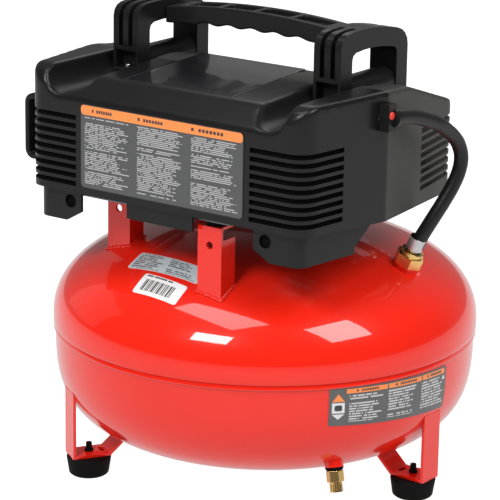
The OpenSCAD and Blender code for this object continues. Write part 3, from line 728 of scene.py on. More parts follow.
def soften(piece: bpy.types.Object, width: float, segments: int = 2, angle: float = 32.0) -> None:
    """Rounds a piece's sharp edges with a Bevel modifier.

    Args:
        piece: the piece.
        width: the round's width in mm.
        segments: faces across the round.
        angle: edges bent more than this many degrees are rounded.
    """
    bevel = piece.modifiers.new("rounded_edges", "BEVEL")
    bevel.width = width * MM
    bevel.segments = segments
    bevel.limit_method = "ANGLE"
    bevel.angle_limit = math.radians(angle)
    bevel.use_clamp_overlap = True
    bevel.miter_outer = "MITER_ARC"
    bevel.harden_normals = True


def turned(profile: Sequence[Point], steps: int = 64) -> bmesh.types.BMesh:
    """Spins a closed profile about the Z axis.

    Args:
        profile: points (radius, height) in mm. Where the first and the last lie on the axis the
            outline closes there, and otherwise it closes on itself.
        steps: segments round the turn.

    Returns:
        The turned solid, in metres.
    """
    bm = bmesh.new()
    verts = [bm.verts.new((r * MM, 0.0, z * MM)) for r, z in profile]
    edges = [bm.edges.new(pair) for pair in zip(verts, verts[1:])]
    if profile[0][0] > 1e-6 or profile[-1][0] > 1e-6:
        edges.append(bm.edges.new((verts[-1], verts[0])))
    bmesh.ops.spin(bm, geom=verts + edges, cent=(0, 0, 0), axis=(0, 0, 1), angle=math.tau, steps=steps,
                   use_merge=True)
    bmesh.ops.remove_doubles(bm, verts=bm.verts, dist=1e-6)
    bmesh.ops.recalc_face_normals(bm, faces=bm.faces)
    return bm


def aim(bm: bmesh.types.BMesh, origin: Vector, axis: Vector, spin: float = 0.0) -> bmesh.types.BMesh:
    """Puts a shape made along Z at a point, along an axis.

    Args:
        bm: the shape, in metres.
        origin: where its own origin goes, in mm.
        axis: where its own Z points.
        spin: its turn about its own Z first, in degrees.

    Returns:
        The same bmesh.
    """
    matrix = (Matrix.Translation(origin * MM) @ axis.to_track_quat("Z", "Y").to_matrix().to_4x4()
              @ Matrix.Rotation(math.radians(spin), 4, "Z"))
    bmesh.ops.transform(bm, matrix=matrix, verts=bm.verts)
    return bm


def slab(width: float, height: float, radius: float) -> bmesh.types.BMesh:
    """A flat rectangle with rounded corners, from (0, 0) to (width, height), in mm.

    Args:
        width: its size along X.
        height: its size along Y.
        radius: its corners' radius.

    Returns:
        The rectangle.
    """
    bm = bmesh.new()
    bmesh.ops.create_grid(bm, x_segments=1, y_segments=1, size=0.5)
    bmesh.ops.scale(bm, vec=(width, height, 1.0), verts=bm.verts)
    bmesh.ops.translate(bm, vec=(width / 2, height / 2, 0.0), verts=bm.verts)
    if radius > 0:
        bmesh.ops.bevel(bm, geom=bm.verts[:], offset=radius, segments=6, profile=0.5,
                        affect="VERTICES", material=-1)
    return bm


def conformed(place: Place, window: Window, size: Point, radius: float, cuts: tuple[int, int],
              thickness: float) -> bmesh.types.BMesh:
    """A thin film laid on a surface, with its UV map.

    Args:
        place: gives the point, in mm, for a position from 0 to 1 across and up the whole label.
        window: the film's part of the label: low u, low v, high u, high v.
        size: the film's width and height in mm.
        radius: its corners' radius in mm.
        cuts: how many times it is cut across and up, so that it can bend.
        thickness: the film's thickness in mm.

    Returns:
        The film.
    """
    bm = slab(size[0], size[1], radius)
    for axis in (0, 1):
        for i in range(1, cuts[axis]):
            point, normal = Vector((0, 0, 0)), Vector((0, 0, 0))
            point[axis], normal[axis] = size[axis] * i / cuts[axis], 1.0
            bmesh.ops.bisect_plane(bm, geom=bm.verts[:] + bm.edges[:] + bm.faces[:], plane_co=point,
                                   plane_no=normal, dist=1e-5)
    uv = bm.loops.layers.uv.new("label")
    for face in bm.faces:
        for loop in face.loops:
            loop[uv].uv = (loop.vert.co.x / size[0], loop.vert.co.y / size[1])
    for vert in bm.verts:
        u = window[0] + (window[2] - window[0]) * vert.co.x / size[0]
        v = window[1] + (window[3] - window[1]) * vert.co.y / size[1]
        vert.co = place(u, v) * MM
    bm.normal_update()
    bmesh.ops.solidify(bm, geom=bm.faces[:], thickness=-thickness * MM)
    bmesh.ops.recalc_face_normals(bm, faces=bm.faces)
    return bm


# ------------------------------------------------------------------ tank


@dataclass
class Tank:
    """Two pressed heads, lapped at the seam."""

    radius: float = 210.0
    seam: float = 142.0
    lap: float = 6.0
    top: float = 242.0
    base: float = 25.0
    steel: float = 2.0
    crown_power: float = 2.27
    bowl_power: float = 3.5
    lip: float = 0.7
    curve_steps: int = 44
    turn_steps: int = 192
    weld_height: float = 0.4
    weld_radius: float = 2.5
    post_half: float = 13.5
    post_depth: float = 22.0
    post_wall: float = 3.0
    posts: Sequence[tuple[float, float, int]] = ((-99, -109, 1), (47.5, -160, 1), (-99, 28, -1), (47.5, 28, -1))

    @property
    def crown_rise(self) -> float:
        """Height of the upper head above its straight band."""
        return self.top - self.seam - self.lap

    @property
    def bowl_radius(self) -> float:
        """Outside radius of the lower head."""
        return self.radius - self.steel - 0.1

    def crown_height(self, x: float, y: float) -> float:
        """Height of the upper head's skin at a point."""
        r = math.hypot(x, y) / self.radius
        return self.seam + self.lap + self.crown_rise * (1 - r ** self.crown_power) ** (1 / self.crown_power)

    def bowl_reach(self, z: float) -> float:
        """Radius of the lower head's skin at a height."""
        drop = (self.seam - z) / (self.seam - self.base)
        return self.bowl_radius * (1 - max(drop, 0.0) ** self.bowl_power) ** (1 / self.bowl_power)

    def bowl_height(self, reach: float) -> float:
        """Height of the lower head's skin at a radius."""
        drop = (1 - (reach / self.bowl_radius) ** self.bowl_power) ** (1 / self.bowl_power)
        return self.seam - (self.seam - self.base) * drop

    def profile(self, wall: float, level: float, radius: float, rise: float, power: float,
                rim: Sequence[Point]) -> list[Point]:
        """A pressed head's section: a superellipse, its rim and the inner one.

        Args:
            wall: the steel's thickness in mm.
            level: where the curve starts, in mm.
            radius: the outer curve's radius there.
            rise: how far it rises, or falls when it is below 0.
            power: the superellipse's power.
            rim: points from the inner curve's end to the outer one's.

        Returns:
            The closed section, as (radius, height) points.
        """
        outer, inner = [], []
        for points, inset in ((outer, 0.0), (inner, wall)):
            reach, height = radius - inset, rise - math.copysign(inset, rise)
            for i in range(self.curve_steps):
                a = math.pi / 2 * i / self.curve_steps
                points.append((reach * math.cos(a) ** (2 / power), level + height * math.sin(a) ** (2 / power)))
            points.append((0.0, level + height))
        return inner[::-1] + list(rim) + outer

    def build(self) -> None:
        """Makes both heads and the welds."""
        wall, crown, bowl = self.steel, self.seam + self.lap, self.bowl_radius
        rim = [(self.radius - wall, self.seam), (self.radius - self.lip, self.seam),
               (self.radius - 0.2, self.seam + 0.25), (self.radius, self.seam + self.lip)]
        upper = self.profile(wall, crown, self.radius, self.crown_rise, self.crown_power, rim)
        rim = [(bowl - wall, crown - 0.5), (bowl, crown - 0.5)]
        lower = self.profile(wall, self.seam, bowl, self.base - self.seam, self.bowl_power, rim)
        for name, section in (("upper", upper), ("lower", lower)):
            add_piece(f"tank_{name}_skin", turned(section, self.turn_steps), RED_ENAMEL,
                      stands_for=[f"tank_{name}_shell"])
        bead = [(207.4, 141.9), (208.4, 141.9), (209.6, 138.6), (209.7, 137.8), (209.3, 137.0), (208.2, 136.2),
                (207.4, 136.0)]
        add_piece("seam_weld", turned(bead, self.turn_steps), RED_ENAMEL, sharp=60.0)
        self.build_welds()

    def weld_bead(self, name: str, points: Sequence[Vector], size: float) -> None:
        """A painted weld: overlapping flattened drops along a line.

        Args:
            name: the piece's name.
            points: corners of the line, in mm.
            size: the drops' radius in mm.
        """
        whole = bmesh.new()
        count = 0
        for start, end in zip(points, points[1:]):
            steps = max(1, round((end - start).length / (0.9 * size)))
            for i in range(steps + 1):
                spot = start.lerp(end, i / steps)
                grown = size * (1.0 + 0.18 * math.sin(2.4 * count + 0.7))
                flat = Matrix.Diagonal((grown * MM, grown * MM, 0.62 * grown * MM, 1))
                matrix = Matrix.Translation(spot * MM) @ flat
                bmesh.ops.create_icosphere(whole, subdivisions=2, radius=1.0, matrix=matrix)
                count += 1
        add_piece(name, whole, RED_ENAMEL, sharp=80.0)

    def build_welds(self) -> None:
        """Beads round the feet of the posts."""
        for index, (x, y, facing) in enumerate(self.posts):
            half, steps = self.post_half, 4
            corners = [(x - half, y + self.post_wall * facing), (x - half, y), (x + half, y),
                       (x + half, y + self.post_depth * facing)]
            line = []
            for (ax, ay), (bx, by) in zip(corners, corners[1:]):
                for k in range(steps + 1):
                    px, py = ax + (bx - ax) * k / steps, ay + (by - ay) * k / steps
                    line.append(Vector((px, py, self.crown_height(px, py) + self.weld_height)))
            self.weld_bead(f"post_weld_{index + 1}", line, self.weld_radius)


# ------------------------------------------------------------------ labels


@dataclass(frozen=True)
class Label:
    """Where a label's films lie: a surface for each height over the skin, and the label's size in mm."""

    surface: Callable[[float], Place]
    size: Point

    def film(self, name: str, lift: float, finish: Finish, window: Window = (0, 0, 1, 1), radius: float = 0.0,
             cuts: tuple[int, int] = (1, 1), thickness: float = 0.1) -> None:
        """Makes one film of the label.

        Args:
            name: the piece's name.
            lift: how far it lies over the skin, in mm.
            finish: the film's finish.
            window: the film's part of the label.
            radius: its corners' radius.
            cuts: how many times it is cut so that it can bend.
            thickness: its thickness in mm.
        """
        own = (self.size[0] * (window[2] - window[0]), self.size[1] * (window[3] - window[1]))
        add_piece(name, conformed(self.surface(lift), window, own, radius, cuts, thickness), finish, sharp=50.0)

    def strips(self, name: str, lift: float, finish: Finish, windows: Sequence[Window],
               cuts: tuple[int, int] = (5, 1)) -> None:
        """Makes one piece of several thin rectangles of film.

        Args:
            name: the piece's name.
            lift: how far they lie over the skin, in mm.
            finish: their finish.
            windows: each rectangle's part of the label.
            cuts: how many times each is cut so that it can bend.
        """
        whole = bmesh.new()
        for window in windows:
            absorb(whole, conformed(self.surface(lift), window, self.size, 0.0, cuts, 0.05))
        add_piece(name, whole, finish, sharp=50.0)

    def header_marks(self, name: str, lift: float, columns: Sequence[Point], band: Point) -> None:
        """Short dark dashes in the coloured band over each column.

        Args:
            name: the piece's name.
            lift: how far they lie over the skin, in mm.
            columns: low and high u of each mark row.
            band: low and high v of the marks.
        """
        count, filled = 9, 0.72
        windows = []
        for low, high in columns:
            step = (high - low) / count
            windows += [(low + i * step, band[0], low + (i + filled) * step, band[1])
                        for i in range(count) if i != 1]
        self.strips(name, lift, LABEL_DARK, windows)

    def triangle(self, name: str, lift: float, finish: Finish, window: Window, upward: bool) -> None:
        """A small triangle laid in thin strips.

        Args:
            name: the piece's name.
            lift: how far it lies over the skin, in mm.
            finish: its finish.
            window: the triangle's box on the label.
            upward: whether it points up.
        """
        count = 8
        left, low, right, high = window
        middle, tall = 0.5 * (left + right), (high - low) / count
        windows = []
        for i in range(count):
            level = (i + 0.5) / count
            reach = 0.5 * (right - left) * (1 - level if upward else level)
            windows.append((middle - reach, low + i * tall, middle + reach, low + (i + 0.98) * tall))
        self.strips(name, lift, finish, windows)


@dataclass
class Labels:
    """Films printed with plain bars and dashes."""

    tank: Tank
    face_y: float = -173.0
    rear_size: Point = (186.0, 79.0)
    rear_low: float = 296.0
    bowl_size: Point = (143.0, 40.0)
    bowl_turn: Point = (-38.4, 1.0)
    silver_corners: Sequence[Point] = ((-60, -122), (14, -130), (29, -153), (-59, -147))
    white_corners: Sequence[Point] = ((-31, -153), (23, -159), (23, -180), (-30.5, -176))

    def rear_face(self, lift: float) -> Place:
        """The shroud's rear face, lift mm proud."""
        width, height = self.rear_size
        return lambda u, v: Vector((-width / 2 + width * u, self.face_y - lift, self.rear_low + height * v))

    def crown(self, corners: Sequence[Point], lift: float) -> Place:
        """The crown, between corners given as top left, top right, bottom right and bottom left.

        Args:
            corners: the label's corners seen from above.
            lift: how far over the skin, in mm.

        Returns:
            The surface.
        """
        top_left, top_right, low_right, low_left = (Vector((*c, 0.0)) for c in corners)

        def on_skin(u: float, v: float) -> Vector:
            """A point of the crown."""
            x, y, _ = low_left.lerp(low_right, u).lerp(top_left.lerp(top_right, u), v)
            return Vector((x, y, self.tank.crown_height(x, y) + lift))
        return on_skin

    def bowl(self, lift: float) -> Place:
        """The part of the lower head that its label covers.

        Args:
            lift: how far over the skin, in mm.

        Returns:
            The surface.
        """
        left, right = self.bowl_turn

        def on_skin(u: float, v: float) -> Vector:
            """A point of the lower head.

            Args:
                u: 0 to 1 across the label.
                v: 0 to 1 up it.

            Returns:
                The point, in mm.
            """
            low, high = 100 - 9 * u, 137 - 3 * u
            z = low + (high - low) * v
            reach = self.tank.bowl_reach(z) + lift
            a = math.radians(left + (right - left) * u)
            return Vector((reach * math.cos(a), reach * math.sin(a), z))
        return on_skin

    def build_rear(self) -> None:
        """The large film on the rear face."""
        label = Label(self.rear_face, self.rear_size)
        label.film("rear_label_border", 0.05, LABEL_DARK, (-0.004, -0.01, 1.004, 1.01), 4.6, thickness=0.15)
        label.film("rear_label", 0.25, REAR_PRINT, radius=4.0)
        label.film("rear_label_header", 0.38, LABEL_ORANGE, (0, 0.885, 1, 1), 3.4)
        label.header_marks("rear_label_header_marks", 0.52, [(0.07, 0.20), (0.36, 0.52), (0.69, 0.89)],
                           (0.924, 0.962))

    def build_crown(self) -> None:
        """The silver and the white film on the tank's crown."""
        silver = Label(lambda lift: self.crown(self.silver_corners, lift), (76, 26))
        silver.film("silver_label", 0.3, SILVER_PRINT, radius=3.0, cuts=(16, 8), thickness=0.2)
        white = Label(lambda lift: self.crown(self.white_corners, lift), (54, 26))
        white.film("white_label", 0.35, WHITE_PRINT, radius=3.0, cuts=(14, 8), thickness=0.2)
        bars, spot = [], 0.12
        for i in range(17):
            step = (0.016, 0.036, 0.022, 0.013)[(i * (i + 1) // 2) % 4]
            bars.append((spot, 0.16, spot + step, 0.72))
            spot += step + (0.014, 0.028, 0.019)[i % 3]
        white.strips("white_label_bars", 0.62, LABEL_BLACK, bars, (1, 5))

    def build_bowl(self) -> None:
        """The film on the lower head."""
        label = Label(self.bowl, self.bowl_size)
        label.film("bowl_label", 0.25, BOWL_PRINT, radius=2.0, cuts=(30, 8), thickness=0.2)
        for i, (low, high) in enumerate(((0.12, 0.425), (0.435, 0.725), (0.735, 0.975))):
            label.film(f"bowl_label_header_{i + 1}", 0.42, LABEL_ORANGE, (low, 0.84, high, 0.955), cuts=(12, 1))
        label.header_marks("bowl_label_header_marks", 0.6, [(0.19, 0.36), (0.49, 0.68), (0.78, 0.94)],
                           (0.875, 0.925))
        label.film("bowl_label_square", 0.42, LABEL_WHITE, (0.02, 0.34, 0.108, 0.61), cuts=(3, 3))
        label.film("bowl_label_square_mark", 0.55, LABEL_DARK, (0.038, 0.40, 0.09, 0.55), 1.8, (2, 2))
        label.triangle("bowl_label_orange_mark", 0.42, LABEL_ORANGE, (0.02, 0.64, 0.108, 0.84), True)
        label.triangle("bowl_label_lower_mark", 0.42, LABEL_WHITE, (0.02, 0.17, 0.108, 0.31), False)
        label.triangle("bowl_label_corner_mark", 0.42, LABEL_WHITE, (0.945, 0.70, 0.985, 0.80), True)

    def build(self) -> None:
        """Makes all films."""
        self.build_rear()
        self.build_crown()
        self.build_bowl()


# ------------------------------------------------------------------ shroud


def prism(outline: Sequence[tuple[float, float]], axis: str, low: float, high: float) -> bmesh.types.BMesh:
    """Extrudes a closed outline along an axis.

    Args:
        outline: its points in mm: (x, y) for axis Z, (y, z) for axis X, (x, z) for axis Y.
        axis: the way that it is extruded, X, Y or Z.
        low: where it starts on that axis, in mm.
        high: where it ends.

    Returns:
        The closed solid, in metres.
    """
    bm = bmesh.new()
    along = "XYZ".index(axis)
    verts = []
    for point in outline:
        spot = list(point)
        spot.insert(along, low)
        verts.append(bm.verts.new(Vector(spot) * MM))
    face = bm.faces.new(verts)
    grown = bmesh.ops.extrude_face_region(bm, geom=[face])["geom"]
    step = Vector((0, 0, 0))
    step[along] = (high - low) * MM
    bmesh.ops.translate(bm, vec=step, verts=[v for v in grown if isinstance(v, bmesh.types.BMVert)])
    bmesh.ops.recalc_face_normals(bm, faces=bm.faces)
    return bm


def settle(thing: bpy.types.Object) -> None:
    """Applies a working object's modifiers.

    Args:
        thing: the working object.
    """
    bpy.context.view_layer.update()
    mesh = bpy.data.meshes.new_from_object(thing.evaluated_get(bpy.context.evaluated_depsgraph_get()))
    old = thing.data
    thing.modifiers.clear()
    thing.data = mesh
    bpy.data.meshes.remove(old)


def combine(thing: bpy.types.Object, tool: bmesh.types.BMesh, operation: str) -> None:
    """Cuts or keeps part of a working object with a closed shape.

    Args:
        thing: the working object.
        tool: the closed shape. It is freed.
        operation: DIFFERENCE, INTERSECT or UNION.
    """
    cutter = placed("cutter", mesh_of("cutter", tool))
    modifier = thing.modifiers.new("combine", "BOOLEAN")
    modifier.operation, modifier.solver, modifier.object = operation, "EXACT", cutter
    settle(thing)
    discard(cutter)


@dataclass
class Shroud:
    """The two-part plastic shroud with its channels, slots and glossy top."""

    rear: float = -173.0
    front: float = 108.0
    half: float = 175.0
    parting: float = -60.0
    shoulder: float = 406.0
    channel: float = 117.0
    channel_radius: float = 21.0
    channel_height: float = 401.0
    low: float = 200.0
    # gap and thickness of the painted-shade sheets behind the slots
    shade_sheet_gap: float = 4.2
    shade_sheet_thickness: float = 1.0
    voxel: float = 2.3
    passes: int = 14
    inset: float = 0.4

    def arc(self, x: float, y: float, radius: float, start: float, stop: float) -> list[tuple[float, float]]:
        """Points along an arc, from one angle to another in degrees."""
        return [(x + radius * math.cos(a), y + radius * math.sin(a))
                for a in (math.radians(start + (stop - start) * i / 12) for i in range(13))]

    def rear_corner(self, inset: float) -> list[tuple[float, float]]:
        """The rear right corner seen from above, from the rear face round to the side."""
        return self.arc(self.half - 34, self.rear + 20, 20 - inset, -90, -8)

    def front_corner(self, inset: float) -> list[tuple[float, float]]:
        """The front right corner seen from above, from the side round to the front face."""
        return self.arc(self.half - 48, self.front - 25, 25 - inset, 9, 90)

    def plan(self) -> list[tuple[float, float]]:
        """The whole outline seen from above."""
        right = self.rear_corner(0.0) + [(self.half, self.parting)] + self.front_corner(0.0)
        return right + [(-x, y) for x, y in reversed(right)]

    def outer_form(self) -> bpy.types.Object:
        """The shroud's outer form as one solid with moulded, rounded edges.

        Returns:
            The working object.
        """
        low, top = self.low, self.shoulder
        form = placed("outer_form", mesh_of("outer_form", prism(self.plan(), "Z", low + 1, 450.0)))
        slope = [(self.parting, top), (-10, 401), (105, 366), (self.front, 361), (self.front, low)]
        back = [(self.rear, low), (self.rear, top - 14), (self.rear + 5, top - 5), (self.rear + 17, top)]
        combine(form, prism(back + slope, "X", -200.0, 200.0), "INTERSECT")
        over = [(-190, 500), (-190, 378.5), (self.rear, 380), (-146, 397.5), (-20, 404.5), (-10, 401),
                (20, 420), (20, 500)]
        combine(form, prism(over, "X", -self.channel, self.channel), "DIFFERENCE")
        for side_x in (-self.channel, self.channel):
            r = self.channel_radius
            groove = self.arc(side_x, self.channel_height, r, 180, 360) + [(side_x + r, 430), (side_x - r, 430)]
            combine(form, prism(groove, "Y", -200.0, 110.0), "DIFFERENCE")
        remesh = form.modifiers.new("moulded", "REMESH")
        remesh.mode, remesh.voxel_size = "VOXEL", self.voxel * MM
        smooth = form.modifiers.new("eased", "SMOOTH")
        smooth.factor, smooth.iterations = 0.5, self.passes
        shrink = form.modifiers.new("inset", "DISPLACE")
        shrink.strength, shrink.mid_level, shrink.direction = -self.inset * MM, 0.0, "NORMAL"
        settle(form)
        return form

    def shade_sheets(self) -> None:
        """Painted shade: dark sheets just inside the slots, black at the rear and lighter grey at the front,
        and black sheets behind the holes in the skirts, standing for the shaded inside.
        """
        gaps = (self.shade_sheet_gap, self.shade_sheet_gap + self.shade_sheet_thickness)
        rear = [[(96.0, self.rear + w)] + self.rear_corner(w) + [(167.3 - w, -112.0)] for w in gaps]
        front = [[(162.3 - w, 19.0)] + self.front_corner(w) + [(116.0, self.front - w)] for w in gaps]
        for end, (outer, inner), low, high, finish in (("rear", rear, 291.5, 366.0, SHADE_AND_SEALANT_BLACK),
                                                       ("front", front, 292.0, 357.0, FRONT_SLOT_SHADE)):
            for name, sign in (("left", -1), ("right", 1)):
                outline = [(sign * x, y) for x, y in outer + inner[::-1]]
                add_piece(f"{name}_{end}_slot_shade_sheet", prism(outline, "Z", low, high), finish)
        for name, sign in (("left", -1), ("right", 1)):
            corners = ((104.0, 268.5), (123.0, 268.5), (123.0, 282.4), (104.0, 282.4))
            shade_sheet = prism([(sign * x, z) for x, z in corners], "Y", -161.8, -161.0)
            add_piece(f"{name}_skirt_shade_sheet", shade_sheet, SHADE_AND_SEALANT_BLACK)

    def build(self) -> None:
        """Makes the shell halves, the glossy plate and the cord wrap."""
        form = self.outer_form()
        for node, finish in (("rear_shroud", SHROUD_REAR), ("front_shroud", SHROUD_FRONT)):
            shell = placed("shell", form.data.copy())
            combine(shell, merged(node, angle=0.05), "INTERSECT")
            bm = bmesh.new()
            bm.from_mesh(shell.data)
            add_piece(node + "_shell", bm, finish, stands_for=[node], sharp=38.0)
            discard(shell)
        discard(form)
        self.shade_sheets()
        plate = add_piece("top_plate", merged("top_panel"), TOP_GLOSS, stands_for=["top_panel"])
        soften(plate, 0.6)
        wrap = add_piece("cord_wrap_hook", merged("cord_wrap"), HANDLE_BLACK, stands_for=["cord_wrap"])
        soften(wrap, 2.0, 3)


# ------------------------------------------------------------------ handle


@dataclass
class Handle:
    """Two ribbed end frames and the grip between them."""

    def build(self) -> None:
        """Makes both frames, the grip and the screws."""
        for node in ("handle_left_frame", "handle_right_frame"):
            piece = add_piece(node + "_moulding", merged(node), HANDLE_BLACK, stands_for=[node], sharp=40.0)
            soften(piece, 1.6, 3, 40.0)
        grip = add_piece("handle_grip_moulding", merged("handle_grip", angle=0.1), HANDLE_BLACK,
                         stands_for=["handle_grip"], sharp=40.0)
        soften(grip, 3.0, 4, 40.0)
        screws = add_piece("handle_screw_heads", merged("handle_screws"), PLATED, stands_for=["handle_screws"])
        soften(screws, 0.8)


# ------------------------------------------------------------------ hose


@dataclass
class Hose:
    """The discharge hose between the check valve and the elbow."""

    radius: float = 7.0
    route: Sequence[tuple[float, float, float]] = (
        (161, 16, 236), (164, 16.5, 242), (166.5, 17, 248), (171, 20, 258), (177, 26, 272), (182.5, 33, 286),
        (187, 40, 300), (190, 45, 314), (191, 46, 326), (190.5, 42, 338), (190, 33, 348), (189.5, 20, 357),
        (189, 4, 366), (187, -14, 373), (185, -32, 378.5), (183.5, -48, 381.5), (182, -61, 382.5),
    )

    def build(self) -> None:
        """Makes the hose as a curve turned into a mesh."""
        curve = bpy.data.curves.new("hose_line", "CURVE")
        curve.dimensions = "3D"
        curve.bevel_depth = self.radius * MM
        curve.bevel_resolution = 7
        curve.resolution_u = 8
        curve.use_fill_caps = True
        line = curve.splines.new("BEZIER")
        line.bezier_points.add(len(self.route) - 1)
        for knot, point in zip(line.bezier_points, self.route):
            knot.co = Vector(point) * MM
            knot.handle_left_type = knot.handle_right_type = "AUTO"
        bm = solid_of(curve)
        bmesh.ops.recalc_face_normals(bm, faces=bm.faces)
        add_piece("hose", bm, HOSE_RUBBER, stands_for=["discharge_hose"], sharp=60.0)


# ------------------------------------------------------------------ plain copies


@dataclass(frozen=True)
class Part:
    """A CAD node whose shape is right: its copy gets rounded edges and a finish."""

    node: str
    finish: Finish
    body: Body = Body.ROOT
    width: float = 0.4
    segments: int = 2

    def build(self) -> None:
        """Makes the rounded copy."""
        piece = add_piece(self.node + "_part", merged(self.node), self.finish, self.body, [self.node])
        if self.width > 0:
            soften(piece, self.width, self.segments)


SIDES = ("right", "rear", "front")
PARTS = (
    *(Part("leg_" + side, RED_ENAMEL, width=1.2, segments=3) for side in SIDES),
    *(Part("foot_" + side, FOOT_RUBBER, width=0.9, segments=3) for side in SIDES),
    Part("mount_posts", RED_ENAMEL, width=1.3, segments=3), Part("tank_bungs", RED_ENAMEL, width=0.6),
    Part("drain_valve", BRASS), Part("drain_knob", BRASS, Body.DRAIN_KNOB, 0.25),
    Part("check_valve", BRASS), Part("hose_ferrule", PLATED),
    Part("hose_elbow", HANDLE_BLACK, width=1.5, segments=3),
    Part("head_outlet_pipe", ALUMINIUM), Part("tank_riser", BRASS), Part("manifold", ALUMINIUM, width=0.8),
    Part("regulator_body", ALUMINIUM), Part("regulator_knob", KNOB_PLASTIC, Body.REGULATOR_KNOB, 0.6),
    Part("gauge_cases", GAUGE_BLACK, width=0.8, segments=3), Part("gauge_lenses", CLEAR, width=0.2),
    Part("tank_gauge_needle", NEEDLE_PAINT, Body.TANK_NEEDLE, 0.15),
    Part("outlet_gauge_needle", NEEDLE_PAINT, Body.OUTLET_NEEDLE, 0.15),
    Part("coupler_bodies", BRASS), Part("coupler_left_sleeve", PLATED, Body.LEFT_SLEEVE, 0.3),
    Part("coupler_right_sleeve", PLATED, Body.RIGHT_SLEEVE, 0.3), Part("safety_valve", BRASS),
    Part("safety_valve_ring", PLATED, Body.RELIEF_RING, 0.4), Part("pressure_switch", PUMP_PLASTIC, width=0.8),
    Part("pressure_switch_lever", RED_PLASTIC, Body.SWITCH_LEVER, 0.6),
    Part("power_inlet_gland", KNOB_PLASTIC, width=0.6),
    Part("pump_base", DARK_STEEL, width=0.5), Part("isolators", FOOT_RUBBER),
    Part("pump_bolts", PLATED, width=0.3),
    Part("crankcase", ALUMINIUM, width=0.8), Part("crank_bearings", PLATED, width=0.3),
    Part("cylinder", ALUMINIUM, width=0.3), Part("valve_plate", DARK_STEEL, width=0.3),
    Part("cylinder_head", ALUMINIUM, width=0.8), Part("intake_filter", PUMP_PLASTIC, width=0.6),
    Part("piston", ALUMINIUM, Body.PISTON, 0.3), Part("connecting_rod", ALUMINIUM, Body.ROD, 0.4),
    Part("wrist_pin", PLATED, Body.ROD, 0.3), Part("flywheel", IRON, Body.CRANK, 0.4),
    Part("drive_belt", BELT_RUBBER, width=0.0), Part("motor_stator", LAMINATED, width=0.4),
    Part("motor_brackets", ALUMINIUM, width=0.6), Part("motor_rotor", LAMINATED, Body.ROTOR, 0.3),
    Part("cooling_fan", FAN_PLASTIC, Body.ROTOR, 0.3),
)


# ------------------------------------------------------------------ small fittings


